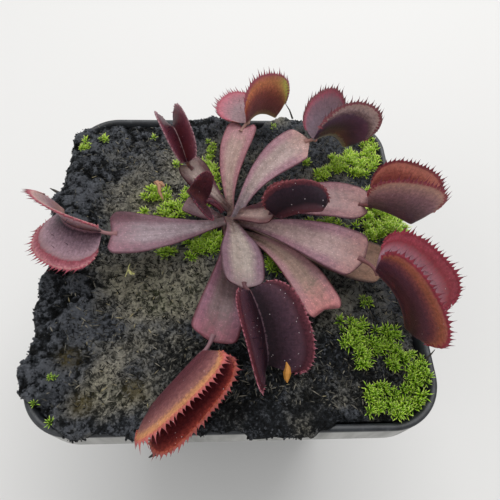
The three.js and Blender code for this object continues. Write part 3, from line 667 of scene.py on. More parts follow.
BLADE_THICKNESS = 0.8
KEEL = 0.6
FOLD = 0.16                 # how far a wing's edges rise, as a share of its half width
RIPPLE = 0.22               # of an edge, long and short waves
FRILL = 0.12
GROOVE = 0.12
GROOVE_HALF = 0.16
FOOT_START = -0.13          # how far inside the crown the blade starts, as a share of its length
STALK_ROWS = 56
STALK_COLUMNS = 33
END_ROWS = 16               # how many of the rows lie close together at the blunt end
NECK_RADIUS = 0.4
NECK_ROWS = 14
NECK_SIDES = 12
NECK_ROOT = 1.4             # how far back inside the blade it starts
NECK_TIP = 1.2              # how far along the midrib it ends
MOTTLE_PER_MM = 0.9         # cells of the skin in groups of about a millimetre
CLOUDS_PER_MM = 0.22        # paler and darker clouds, 5 mm
PITS_PER_MM = 1.7           # pale dots, 0.6 mm apart
VEIN_LANES = (14.0, 1.2, 1.0)   # veins across half a blade, and breaks along it

# from, via and to are the midline's three points: at the crown, at the bend and at the
# blunt end. width is the widest, peak where that falls, foot and tip the shares of it
# left at the two ends, shoulders how far the corners reach on, bank the blade's tilt.
STALKS = {
    "a": dict(path=((-4.2, 4.2, 84.0), (-14.3, -1.7, 88.0), (-28.3, -2.2, 89.5)),
              width=10.8, foot=0.24, peak=0.92, tip=0.78, shoulders=0.5, bank=5),
    "b": dict(path=((-2.4, 8.6, 86.4), (-7.3, 11.4, 91.5), (-10.8, 13.9, 95.0)),
              width=7.4, foot=0.3, peak=0.76, tip=0.55, shoulders=1.4, bank=0),
    "c": dict(path=((-0.6, 9.2, 84.4), (-1.7, 19.8, 89.5), (2.9, 29.9, 91.5)),
              width=8.4, foot=0.24, peak=0.87, tip=0.68, shoulders=1.5, bank=12),
    "d": dict(path=((1.9, 8.6, 85.2), (7.6, 20.2, 90.3), (20.2, 24.7, 92.5)),
              width=9.4, foot=0.28, peak=0.86, tip=0.6, shoulders=-2.2, bank=-16),
    "e": dict(path=((3.4, 6.8, 84.1), (17.4, 12.2, 87.2), (32.7, 6.4, 88.5)),
              width=10.8, foot=0.26, peak=0.79, tip=0.32, shoulders=1.2, bank=-4),
    "f": dict(path=((3.2, 3.6, 84.7), (16.6, -0.6, 88.4), (29.6, -10.4, 90.6)),
              width=10.8, foot=0.2, peak=0.86, tip=0.8, shoulders=-1.0, bank=-18),
    "g": dict(path=((2.0, 4.9, 87.0), (5.0, 3.4, 89.8), (10.0, 2.0, 91.3)),
              width=6.6, foot=0.6, peak=0.7, tip=0.5, shoulders=-0.5, bank=0),
    "h": dict(path=((1.9, 2.2, 83.0), (14.8, -4.5, 85.2), (20.6, -19.7, 84.6)),
              width=9.0, foot=0.22, peak=0.92, tip=0.84, shoulders=1.0, bank=0),
    "i": dict(path=((-0.1, 2.6, 86.2), (2.1, -6.9, 89.8), (2.2, -17.3, 90.9)),
              width=10.3, foot=0.34, peak=0.62, tip=0.54, shoulders=-0.8, bank=16),
    "j": dict(path=((-1.4, 2.0, 83.6), (0.0, -12.8, 86.8), (-4.8, -28.1, 88.3)),
              width=10.6, foot=0.2, peak=0.9, tip=0.9, shoulders=-0.8, bank=14),
    "k": dict(path=((3.6, 4.6, 82.9), (20.1, -2.0, 82.3), (37.2, -8.2, 82.6)),
              width=12.4, foot=0.2, peak=0.78, tip=0.84, shoulders=-1.3, bank=4),
    "l": dict(path=((-3.6, 6.4, 82.9), (-7.8, 7.4, 85.0), (-12.4, 9.6, 85.3)),
              width=4.4, foot=0.6, peak=0.74, tip=0.85, shoulders=-0.3, bank=10),
    "m": dict(path=((-2.9, 5.9, 87.6), (-4.0, 6.6, 89.4), (-6.2, 6.5, 90.6)),
              width=1.8, foot=0.7, peak=0.6, tip=0.75, shoulders=0.1, bank=0),
}

# hinge is the neck's end of the midrib; heading is its bearing clockwise from +Y, pitch
# its climb, roll the mouth's tilt. length and depth are the midrib's length and a
# lobe's reach; flare is how far the lobes run past the midrib's ends, skew moves their
# fullest part, arch bows the midrib, open holds the lobes' angles from the mouth's
# axis, curl how much they are cupped, twist turns the far end; tooth is a tooth's length.
TRAPS = {
    "a": dict(hinge=(-30.5, -2.0, 90.0), heading=-52, pitch=-13, roll=66.5, length=15, depth=10.1,
              flare=(0.41, 0.27), skew=0.02, arch=3.3, open=(37, 50.5), curl=30, twist=-1, tooth=1.7),
    "b": dict(hinge=(-10.8, 13.1, 97.0), heading=-22, pitch=13, roll=4, length=10.3, depth=6.5,
              flare=(0.24, 0.36), skew=0.02, arch=3.0, open=(28, 21.5), curl=29, twist=4, tooth=0.5),
    "c": dict(hinge=(3.6, 30.2, 93.0), heading=40, pitch=-29, roll=44.5, length=16.4, depth=10.7,
              flare=(0.32, 0), skew=0.11, arch=2.3, open=(45, 43), curl=25, twist=-12.5, tooth=1.7),
    "d": dict(hinge=(20.7, 23.6, 94.0), heading=57, pitch=-38, roll=22, length=17.2, depth=11.7,
              flare=(0.11, -0.1), skew=0.33, arch=2.75, open=(33, 35.5), curl=27, twist=-21, tooth=1.7),
    "e": dict(hinge=(33.2, 5.7, 90.0), heading=112, pitch=-7, roll=17, length=11.8, depth=12.7,
              flare=(0.35, 0.53), skew=-0.02, arch=0.6, open=(16.5, 16.5), curl=27, twist=16, tooth=1.7),
    "f": dict(hinge=(31.2, -13.8, 92.5), heading=140, pitch=-38, roll=36, length=16.4, depth=13.3,
              flare=(0.7, 0.1), skew=0.27, arch=2.0, open=(38.5, 42), curl=29, twist=-9, tooth=1.7),
    "g": dict(hinge=(10.5, 0.7, 92.0), heading=94, pitch=22, roll=55, length=10.8, depth=7.1,
              flare=(0.33, 0.32), skew=-0.18, arch=0.7, open=(10.5, 10.5), curl=30, twist=36, tooth=0.5),
    "i": dict(hinge=(3.5, -17.9, 91.5), heading=165, pitch=-31, roll=23, length=16.6, depth=9.7,
              flare=(0.17, 0.36), skew=0.09, arch=1.8, open=(50.5, 53.5), curl=30, twist=5, tooth=0.8),
    "j": dict(hinge=(-5.9, -30.3, 89.0), heading=-132, pitch=-24, roll=54.5, length=16.7, depth=11.1,
              flare=(0.47, 0.28), skew=0.18, arch=-0.4, open=(13, 14), curl=25, twist=-11, tooth=1.9),
    "m": dict(hinge=(-6.4, 4.8, 92.0), heading=-131, pitch=63, roll=45, length=9.6, depth=6.3,
              flare=(-0.1, -0.1), skew=-0.05, arch=-0.3, open=(56, 56), curl=32, twist=0, tooth=0.4),
}


def tilted_frame(along, tilt):
    """Side and up of a leaf that runs along: level = along × Z, normal = level × along, side = level·cos
    tilt + normal·sin tilt, up = side × along."""
    level = unit(np.cross(along, [0.0, 0.0, 1.0]))
    normal = np.cross(level, along)
    side = level * np.cos(tilt) + normal * np.sin(tilt)
    return side, np.cross(side, along)


def trap_axes(trap):
    """The trap's own axes: x down the midrib, y to its right, z out of the mouth."""
    a, p, r = (math.radians(trap[key]) for key in ("heading", "pitch", "roll"))
    x = np.array([math.sin(a) * math.cos(p), math.cos(a) * math.cos(p), math.sin(p)])
    y, z = tilted_frame(x, r)
    return x, y, z


def midline(stalk, s):
    """The stalk's midline at s, a quadratic curve (1-s)²·p + 2s(1-s)·q + s²·r, and its unit direction."""
    p, q, r = (np.array(point) for point in stalk["path"])
    s = np.asarray(s, float)[..., None]
    along = 2 * (1 - s) * (q - p) + 2 * s * (r - q)
    return (1 - s) ** 2 * p + 2 * s * (1 - s) * q + s ** 2 * r, unit(along)


def wing_half(stalk, s):
    """Half width along s: an S-shaped swelling to the widest place, then sqrt(1 - past³) to the shoulders,
    with the last corners rounded off."""
    rise = stalk["foot"] + (1 - stalk["foot"]) * smooth(s / stalk["peak"]) ** 0.8
    past = np.clip((s - stalk["peak"]) / (1 - stalk["peak"]), 0, 1)
    fall = stalk["tip"] + (1 - stalk["tip"]) * np.sqrt(1 - past ** 3)
    corner = 1 - 0.16 * np.clip((s - 0.93) / 0.07, 0, 1) ** 3
    return stalk["width"] / 2 * np.where(s < stalk["peak"], rise, fall) * corner


def even_fields(count, **values):
    """Fields with one value each at all of count points."""
    return {field: np.full(count, float(value)) for field, value in values.items()}


def wing_points(stalk, number):
    """Cross sections from inside the crown to the blunt end. Each goes over the top from edge to edge and
    back underneath: raised by fold·half·|v|^1.5 with a ripple near the edge, half the thickness above and
    below, thinned to nothing at the edges and at the end, with a groove on top and a keel under it."""
    closing = np.sin(np.linspace(0, math.pi / 2, END_ROWS + 1)[1:])
    s = np.concatenate([np.linspace(FOOT_START, 0.9, STALK_ROWS - END_ROWS), 0.9 + 0.1 * closing])
    edge_to_edge = np.sin(np.linspace(-1, 1, STALK_COLUMNS) * math.pi / 2)
    v = np.concatenate([edge_to_edge, edge_to_edge[-2:0:-1]])
    top = np.concatenate([np.ones(STALK_COLUMNS), -np.ones(STALK_COLUMNS - 2)])
    centre, along = midline(stalk, s)
    side, up = tilted_frame(along, math.radians(stalk["bank"]))
    half = wing_half(stalk, s)
    side_on, up_on = side[:, None], up[:, None]
    size = np.abs(v)
    forward = stalk["shoulders"] * size ** 1.5 * np.clip(s, 0, 1)[:, None] ** 6
    ripple = RIPPLE * np.sin(9 * s + 1.7 * number)[:, None] * size ** 3 * np.sign(v)
    ripple = ripple + FRILL * np.sin(23 * s + 2.3 * number)[:, None] * size ** 4
    raised = FOLD * half[:, None] * size ** 1.5 + ripple * half[:, None] / 5
    end = np.sqrt(np.clip(1 - np.clip((s - 0.95) / 0.05, 0, 1) ** 2, 0.01, 1))[:, None]
    thick = BLADE_THICKNESS / 2 * np.sqrt(1 - size ** 4) * end
    keel = KEEL * (1 - size) ** 2 * end
    groove = GROOVE * np.exp(-(v / GROOVE_HALF) ** 2) * end
    lift = raised + np.where(top > 0, thick - groove, -thick - keel)
    points = centre[:, None] + side_on * (half[:, None] * v)[..., None]
    points = points + along[:, None] * forward[..., None] + up_on * lift[..., None]
    shape = points.shape[:2]
    points = np.concatenate([points.reshape(-1, 3), centre[[0, -1]]])
    fields = {"across": np.append(np.broadcast_to(v, shape), [0, 0]),
              "along": np.append(np.broadcast_to(s[:, None], shape), [s[0], s[-1]]),
              **even_fields(len(points), neck=0, stain=0)}
    return points, loft_faces(*shape), fields


def tube(path, radius, sides):
    """A closed round tube along a path of points, its section turned square to the path."""
    along = unit(np.gradient(path, axis=0))
    side, up = tilted_frame(along, 0.0)
    angle = even_angles(sides)
    ring = side[:, None] * np.cos(angle)[:, None] + up[:, None] * np.sin(angle)[:, None]
    points = path[:, None] + ring * np.broadcast_to(radius, len(path))[:, None, None]
    return np.concatenate([points.reshape(-1, 3), path[[0, -1]]]), loft_faces(len(path), sides)


def neck_points(stalk, trap):
    """The neck, a cubic curve that leaves the blade in its direction and enters the midrib in the trap's."""
    end, along = midline(stalk, 1.0)
    x = trap_axes(trap)[0]
    first = end - along * NECK_ROOT
    last = np.array(trap["hinge"]) + x * NECK_TIP
    reach = np.linalg.norm(last - first) * 0.4
    t = np.linspace(0, 1, NECK_ROWS)[:, None]
    path = (1 - t) ** 3 * first + 3 * t * (1 - t) ** 2 * (first + along * reach)
    path = path + 3 * t ** 2 * (1 - t) * (last - x * reach) + t ** 3 * last
    t = t.ravel()
    radius = NECK_RADIUS + 0.35 * (1 - t) ** 4 + 0.25 * t ** 5
    points, faces = tube(path, radius, NECK_SIDES)
    return points, faces, even_fields(len(points), across=0.2, along=1, neck=1, stain=0)


def joined(parts):
    """One mesh out of several (points, faces, fields) parts."""
    points, lists, fields = zip(*parts)
    starts = np.cumsum([0] + [len(part) for part in points])
    faces = [face + start for part, start in zip(lists, starts) for face in part]
    whole = {field: np.concatenate([part[field] for part in fields]) for field in fields[0]}
    return np.concatenate(points), faces, whole


def shaded(tree, coat, *tones):
    """The coat times each tone in turn. As a tone's pattern goes from the one number of its first pair to
    the other, what it multiplies by goes from the one number of its second pair to the other."""
    for pattern, (start, stop), (first, last) in tones:
        share = add(tree, "MapRange", {"Value": pattern, "From Min": start, "From Max": stop,
                                       "To Min": first, "To Max": last})
        coat = add(tree, "VectorMath", {0: coat, 3: share}, operation="SCALE")
    return coat


def leaf_wing(name, foot, middle, edge, rim, tip, neck):
    """A living wing: matt, greyer along its middle, mauve at the sides with a dark rim, redder at its end,
    brown at the crown, with faint lengthwise veins, pale dots all over, and dark marks from the stain field:
    a stain on one stalk and a painted cast shadow on another."""
    made, tree, shader = start_material(name, Roughness=0.46, IOR=1.42, Specular_IOR_Level=0.3,
                                        Subsurface_Weight=0.05)
    place = add(tree, "TexCoord", out="Object")
    across, along, is_neck, stain = (add(tree, "Attribute", out="Fac", attribute_name=field)
                                     for field in ("across", "along", "neck", "stain"))
    size = add(tree, "Math", {0: across}, operation="ABSOLUTE")
    mottle = add(tree, "TexNoise",
                 {"Vector": place, "Scale": MOTTLE_PER_MM / MM, "Detail": 5.0, "Roughness": 0.7})
    cloud = add(tree, "TexNoise", {"Vector": place, "Scale": CLOUDS_PER_MM / MM, "Detail": 4.0})
    width = add(tree, "Math", {0: cloud, 1: 0.4, 2: size}, operation="MULTIPLY_ADD")
    reach = add(tree, "Math", {0: mottle, 1: 0.3, 2: along}, operation="MULTIPLY_ADD")
    blush = add(tree, "MapRange", {"Value": reach, "From Min": 0.9, "From Max": 1.18})
    base = add(tree, "MapRange", {"Value": reach, "From Min": 0.42, "From Max": 0.12})
    brim = add(tree, "MapRange", {"Value": size, "From Min": 0.86, "From Max": 0.97})
    end = add(tree, "MapRange", {"Value": along, "From Min": 0.975, "From Max": 0.998, "To Max": 0.8})
    border = add(tree, "Math", {0: brim, 1: end}, operation="MAXIMUM")
    # the stain field's dark marks, one of them a painted shadow
    dark = add(tree, "Math", {0: border, 1: stain}, operation="MAXIMUM")
    coat = add(tree, "ValToRGB", {0: width}, ramp=[(0.3, middle), (0.55, middle), (0.9, edge), (1.0, edge)])
    for share, over in ((blush, linear(tip)), (base, linear(foot)), (dark, linear(rim))):
        coat = add(tree, "Mix", {"Factor": share, 6: coat, 7: over}, out=2, data_type="RGBA")
    run = add(tree, "CombineXYZ", {0: across, 1: along})
    lanes = add(tree, "Mapping", {"Vector": run, "Scale": VEIN_LANES})
    veins = add(tree, "TexNoise", {"Vector": lanes, "Scale": 1.0, "Detail": 3.0})
    pits = add(tree, "TexVoronoi", {"Vector": place, "Scale": PITS_PER_MM / MM})
    skin = shaded(tree, coat, (veins, (0.3, 0.7), (0.88, 1.1)), (mottle, (0.3, 0.7), (0.7, 1.25)),
                  (pits, (0.12, 0.3), (1.36, 0.95)))
    whole = add(tree, "Mix", {"Factor": is_neck, 6: skin, 7: linear(neck)}, out=2, data_type="RGBA")
    bumps = add(tree, "Bump", {"Height": mottle, "Strength": 0.5, "Distance": 0.3 * MM})
    plug(shader, {"Base Color": whole, "Normal": bumps})
    return made


# foot, middle, edge, rim, tip and neck colours of each wing
WING_COLOURS = {
    "a": ("#6a5556", "#9a868c", "#82606b", "#5c3a44", "#8f6470", "#8f6668"),
    "b": ("#4a3636", "#a8948e", "#5a3a42", "#34161f", "#8d7773", "#5a3a3a"),
    "c": ("#6a524c", "#ae9088", "#a47278", "#7c4650", "#b27a84", "#a07a70"),
    "d": ("#74646a", "#b09894", "#a67c86", "#6e4450", "#b88f86", "#9a7068"),
    "e": ("#644a4c", "#9c7e7e", "#8a6066", "#542c38", "#a07674", "#64383a"),
    "f": ("#5c4448", "#a68a88", "#8f6873", "#4e2a36", "#9c726e", "#6e4648"),
    "g": ("#5c4644", "#957c76", "#6e4a4c", "#3a1a22", "#6a4446", "#4a282e"),
    "h": ("#54403c", "#96796e", "#a2767a", "#6a3a40", "#c07878", "#8e6660"),
    "i": ("#54403e", "#9c8c84", "#785a66", "#3c1e28", "#80666c", "#5a383c"),
    "j": ("#4c3836", "#786264", "#825868", "#54262f", "#8c525e", "#7d5c62"),
    "k": ("#4a3836", "#927264", "#7c5c4e", "#4a3430", "#a47e6a", "#5a4642"),
    "l": ("#4a3638", "#8c7276", "#725058", "#4a2a34", "#8a6c70", "#554645"),
    "m": ("#4a2630", "#4c2430", "#5c2a36", "#3a1620", "#5c2c38", "#4a2430"),
}

# dark marks: a stain near the end of a, and a painted shadow cast by trap g on stalk g; place across and
# along, reach and strength
STAINS_AND_SHADOWS = {"a": ((0.82, 0.97), 0.3, 1.1), "g": ((-0.75, 0.5), 0.42, 1.7)}
OLD_STALKS = ("k", "l")

for number, (key, stalk) in enumerate(STALKS.items()):
    parts = [wing_points(stalk, number)]
    if key in TRAPS:
        parts.append(neck_points(stalk, TRAPS[key]))
    points, faces, fields = joined(parts)
    if key in STAINS_AND_SHADOWS:
        at, reach, strength = STAINS_AND_SHADOWS[key]
        spot = bump(fields["across"], fields["along"], at, reach)
        fields["stain"] = np.clip(strength * spot, 0, 1) * (1 - fields["neck"])
    make_piece(f"winged_stalk_{key}", points, faces, leaf_wing(f"stalk_skin_{key}", *WING_COLOURS[key]),
               "old_stalk_leaf" if key in OLD_STALKS else "stalk_leaf", [f"stalk_{key}"], fields, crease=60)


# ---------------------------------------------------------------- the traps
# Two cupped lobes on a midrib, satin and waxy, maroon inside, with a band of nectar
# glands along the margin and a row of stiff teeth. Each lobe holds three fine trigger
# hairs. The young ones have only short teeth.

TRAP_ROWS = 97
LOBE_COLUMNS = 24
LOBE_INNER = 0.15           # how thick a lobe is on each side of its middle surface
LOBE_OUTER = 0.35
MIDRIB = 0.45               # how much thicker the midrib is
MIDRIB_HALF = 0.09          # and how wide, as a share of a lobe
MARGIN_TURN = 0.35          # how far the margin turns out
TOOTH_PITCH = 0.95
TOOTH_SIDES = 6
HAIR_LENGTH = 1.7           # on a lobe that reaches out 11 mm
HAIR_RADIUS = 0.09
PORES_PER_MM = 1.5          # the wax's pits, 0.7 mm, as coarse as they need to show
FLUSH_PER_MM = 0.24         # flushes of colour, 4 mm
GLINTS_PER_MM = 1.1           # places for a painted glint, 0.9 mm apart
# the painted glints' colour
GLINT = "#b9aeb2"
RAMP_LOBE = 0.75            # the lobe's part of a colour ramp, of which the rest is the teeth's
TRAP_LANES = (60.0, 2.5, 1.0)   # veins along a lobe, and breaks out along each


def lobe_sheet(trap, s, w):
    """Middle surface of both lobes and the direction into the mouth: w runs from the left margin at -1
    through the midrib at 0 to the right margin at 1, and on past 1 into the teeth. A lobe leaves the midrib
    at its opening angle plus half the curl, bends in by the curl, and its margin turns out a little."""
    x, y, z = trap_axes(trap)
    v, side = np.abs(w), np.where(w < 0, -1.0, 1.0)
    end = 2 * s - 1
    reach = (0.4 + 0.6 * (1 - np.abs(end) ** 3) ** 0.62) * (1 + trap["skew"] * end)
    curl = math.radians(trap["curl"])
    opened = np.radians(np.where(w < 0, *trap["open"])) + curl / 2
    angle = opened - curl * v
    out = (np.cos(angle) - np.cos(opened)) / curl
    high = (np.sin(opened) - np.sin(angle)) / curl
    turn = np.radians(trap["twist"] * end)[..., None]
    y_on = y * np.cos(turn) + z * np.sin(turn)
    z_on = z * np.cos(turn) - y * np.sin(turn)
    near, far = trap["flare"]
    along = trap["length"] * (s + reach * v * (far * s ** 2 - near * (1 - s) ** 2))
    lobe_normal = z_on * np.sin(angle)[..., None] - y_on * (side * np.cos(angle))[..., None]
    share = smooth(v / 0.1)[..., None]
    normal = unit(z_on * (1 - share) + lobe_normal * share)
    point = np.array(trap["hinge"]) + x * along[..., None] + z * (trap["arch"] * 4 * s * (1 - s))[..., None]
    point = point + y_on * (side * out * trap["depth"] * reach)[..., None]
    point = point + z_on * (high * trap["depth"] * reach)[..., None]
    turned = MARGIN_TURN * smooth((v - 0.82) / 0.18)
    return point - lobe_normal * turned[..., None], normal, reach


def lobe_points(trap):
    """Both faces of the lobes, a wall round their edge closing them: the outer face stands off further at
    the midrib, by e to the minus (v / half width)², and both come together at the margin."""
    s = (1 - np.cos(np.linspace(0, math.pi, TRAP_ROWS))) / 2
    half = np.linspace(0, 1, LOBE_COLUMNS + 1) ** 0.9
    w = np.concatenate([-half[:0:-1], half])
    s, w = np.meshgrid(s, w, indexing="ij")
    middle, normal, _ = lobe_sheet(trap, s, w)
    v = np.abs(w)
    edge = np.sqrt(np.clip(1 - v ** 10, 0.06, 1)) * np.sqrt(np.clip(1 - (2 * s - 1) ** 14, 0.06, 1))
    inner = middle + normal * (LOBE_INNER * edge)[..., None]
    outer = middle - normal * (LOBE_OUTER * edge + MIDRIB * np.exp(-(v / MIDRIB_HALF) ** 2) * edge)[..., None]
    rows, columns = s.shape
    index = np.arange(rows * columns).reshape(rows, columns)
    quads, rim = sheet_quads(index), sheet_rim(index)
    points = np.concatenate([inner.reshape(-1, 3), outer.reshape(-1, 3)])
    lime = bump(s, w, LIME_AT, LIME_REACH) * 1.6 if trap is TRAPS[LIME_TRAP] else 0 * s
    fields = {"out": np.tile(v.ravel(), 2), "run": np.tile(s.ravel(), 2),
              "inside": np.repeat([1.0, 0.0], index.size), "lime": np.tile(lime.ravel(), 2)}
    return points, [quads, quads[:, ::-1] + index.size, band(rim, rim + index.size)], fields


def spikes(base, tip, bend, flat, half_width, thickness, sides):
    """Closed tapering spikes, one for each base and tip: the middle line runs from base to tip and bows by
    bend·t², the section is an ellipse, wide along flat by half_width(t) and deep by thickness(t)."""
    t = np.array([-0.18, 0.0, 0.12, 0.3, 0.6])
    count = len(base)
    along = unit(tip - base)
    deep = unit(np.cross(along, flat))
    wide = np.cross(deep, along)
    spine = base[:, None] + (tip - base)[:, None] * t[:, None] + bend[:, None] * (t ** 2)[:, None]
    angle = even_angles(sides)
    across = wide[:, None, None] * np.cos(angle)[:, None] * half_width(t)[..., None, None]
    through = deep[:, None, None] * np.sin(angle)[:, None] * thickness(t)[:, None, None]
    rings = (spine[:, :, None] + across + through).reshape(count, -1, 3)
    root = base[:, None] + (tip - base)[:, None] * t[0]
    whole = np.concatenate([rings, root, (tip + bend)[:, None]], axis=1)
    each = whole.shape[1]
    starts = (np.arange(count) * each)[:, None, None]
    faces = [(part + starts).reshape(-1, part.shape[1]) for part in loft_faces(len(t), sides)]
    place = np.concatenate([np.repeat(t, sides), [t[0], 1.0]])
    return whole.reshape(-1, 3), faces, np.tile(np.clip(place, 0, 1), count)


def tooth_points(trap, seed):
    """Teeth spaced evenly along each margin, long and short by turns: broad at the foot, where they meet
    their neighbours, then slim and bent a little into the mouth."""
    rng = np.random.default_rng(seed)
    parts = []
    for side in (-1.0, 1.0):
        s = np.linspace(0, 1, 400)
        margin = lobe_sheet(trap, s, np.full(400, side))[0]
        length = np.append(0, np.cumsum(np.linalg.norm(np.diff(margin, axis=0), axis=1)))
        count = int(length[-1] / TOOTH_PITCH)
        pitch = length[-1] / count
        stops = (np.arange(count) + 0.5 + rng.uniform(-0.12, 0.12, count)) * pitch
        at = np.interp(stops, length, s)
        _, _, reach = lobe_sheet(trap, at, np.full(count, side))
        tall = trap["tooth"] * np.where(np.arange(count) % 2, 0.66, 1.08) * rng.uniform(0.7, 1.2, count)
        tall *= smooth(np.minimum(at, 1 - at) / 0.06 + 0.3)
        base, normal, _ = lobe_sheet(trap, at, np.full(count, side * 0.985))
        tip = lobe_sheet(trap, np.clip(at + rng.uniform(-0.012, 0.012, count), 0, 1),
                         side * (1 + tall / (trap["depth"] * reach)))[0]
        ahead = lobe_sheet(trap, np.clip(at + 0.01, 0, 1), np.full(count, side))[0]
        behind = lobe_sheet(trap, np.clip(at - 0.01, 0, 1), np.full(count, side))[0]
        foot = 0.56 * pitch
        points, faces, place = spikes(
            base, tip, normal * (0.22 * tall)[:, None], unit(ahead - behind),
            lambda t: foot * np.clip(1 - t / 0.6, 0, 1) ** 1.5 + 0.11 * (1 - np.clip(t, 0, 1)) ** 0.5,
            lambda t: 0.14 * (1 - np.clip(t, 0, 1)) ** 0.6 + 0.02, TOOTH_SIDES)
        run = np.repeat(at, len(place) // count)
        fields = {"out": 1 + place / 3, "run": run, **even_fields(len(points), inside=0.5, lime=0)}
        parts.append((points, faces, fields))
    return parts


def hair_points(trap):
    """Three trigger hairs on each lobe, standing square on its inner face."""
    s = np.array([0.36, 0.64, 0.5] * 2)
    w = np.array([0.42, 0.42, 0.62, -0.42, -0.42, -0.62])
    base, normal, _ = lobe_sheet(trap, s, w)
    tip = base + normal * (HAIR_LENGTH * trap["depth"] / 11)
    flat = unit(np.cross(normal, [0.3, 0.5, 0.8]))

    def radius(t):
        return HAIR_RADIUS * (1 - 0.8 * np.clip(t, 0, 1))

    points, faces, _ = spikes(base, tip, np.zeros((6, 3)), flat, radius, radius, 5)
    return points, faces, even_fields(len(points), out=0.1, run=0.5, inside=1, lime=0)


def lobe_skin(name, inner, outer, tooth, specks):
    """Living trap tissue: satin wax over fine pits, faint veins from the midrib to the margin, colour in
    bands out from the midrib, different inside and outside, a lime blotch, and white specks that are painted
    glints."""
    made, tree, shader = start_material(name, Roughness=0.4, IOR=1.42, Specular_IOR_Level=0.18,
                                        Subsurface_Weight=0.05)
    place = add(tree, "TexCoord", out="Object")
    out, run, inside, lime = (add(tree, "Attribute", out="Fac", attribute_name=field)
                              for field in ("out", "run", "inside", "lime"))
    pores = add(tree, "TexNoise",
                {"Vector": place, "Scale": PORES_PER_MM / MM, "Detail": 4.0, "Roughness": 0.7})
    flush = add(tree, "TexNoise", {"Vector": place, "Scale": FLUSH_PER_MM / MM, "Detail": 3.0})
    soft = add(tree, "Math", {0: pores, 1: 0.5}, operation="SUBTRACT")
    spread = add(tree, "Math", {0: soft, 1: 0.2, 2: out}, operation="MULTIPLY_ADD")
    banded = add(tree, "Math", {0: spread, 1: RAMP_LOBE}, operation="MULTIPLY")
    teeth = [(0.79, tooth[0]), (0.97, tooth[1])]
    back, front = (add(tree, "ValToRGB", {0: banded},
                       ramp=[(at * RAMP_LOBE, code) for at, code in bands] + teeth)
                   for bands in (outer, inner))
    face = add(tree, "Mix", {"Factor": inside, 6: back, 7: front}, out=2, data_type="RGBA")
    ripe = add(tree, "Mix", {"Factor": lime, 6: face, 7: linear(LIME)}, out=2, data_type="RGBA")
    flow = add(tree, "CombineXYZ", {0: run, 1: out})
    lanes = add(tree, "Mapping", {"Vector": flow, "Scale": TRAP_LANES})
    veins = add(tree, "TexNoise", {"Vector": lanes, "Scale": 1.0, "Detail": 2.0})
    skin = shaded(tree, ripe, (veins, (0.3, 0.7), (0.9, 1.1)), (pores, (0.3, 0.7), (0.72, 1.28)),
                  (flush, (0.3, 0.7), (0.9, 1.1)))
    # painted glints: small white dots on some of the cells
    salt = add(tree, "TexVoronoi", {"Vector": place, "Scale": GLINTS_PER_MM / MM})
    size = add(tree, "MapRange", {"Value": salt, "From Min": 0.13, "From Max": 0.08})
    some = add(tree, "Math", {0: salt.node.outputs["Color"], 1: 1 - specks}, operation="GREATER_THAN")
    dots = add(tree, "Math", {0: size, 1: some}, operation="MULTIPLY")
    whole = add(tree, "Mix", {"Factor": dots, 6: skin, 7: linear(GLINT)}, out=2, data_type="RGBA")
    pitted = add(tree, "Bump", {"Height": pores, "Strength": 0.45, "Distance": 0.2 * MM})
    plug(shader, {"Base Color": whole, "Normal": pitted})
    return made
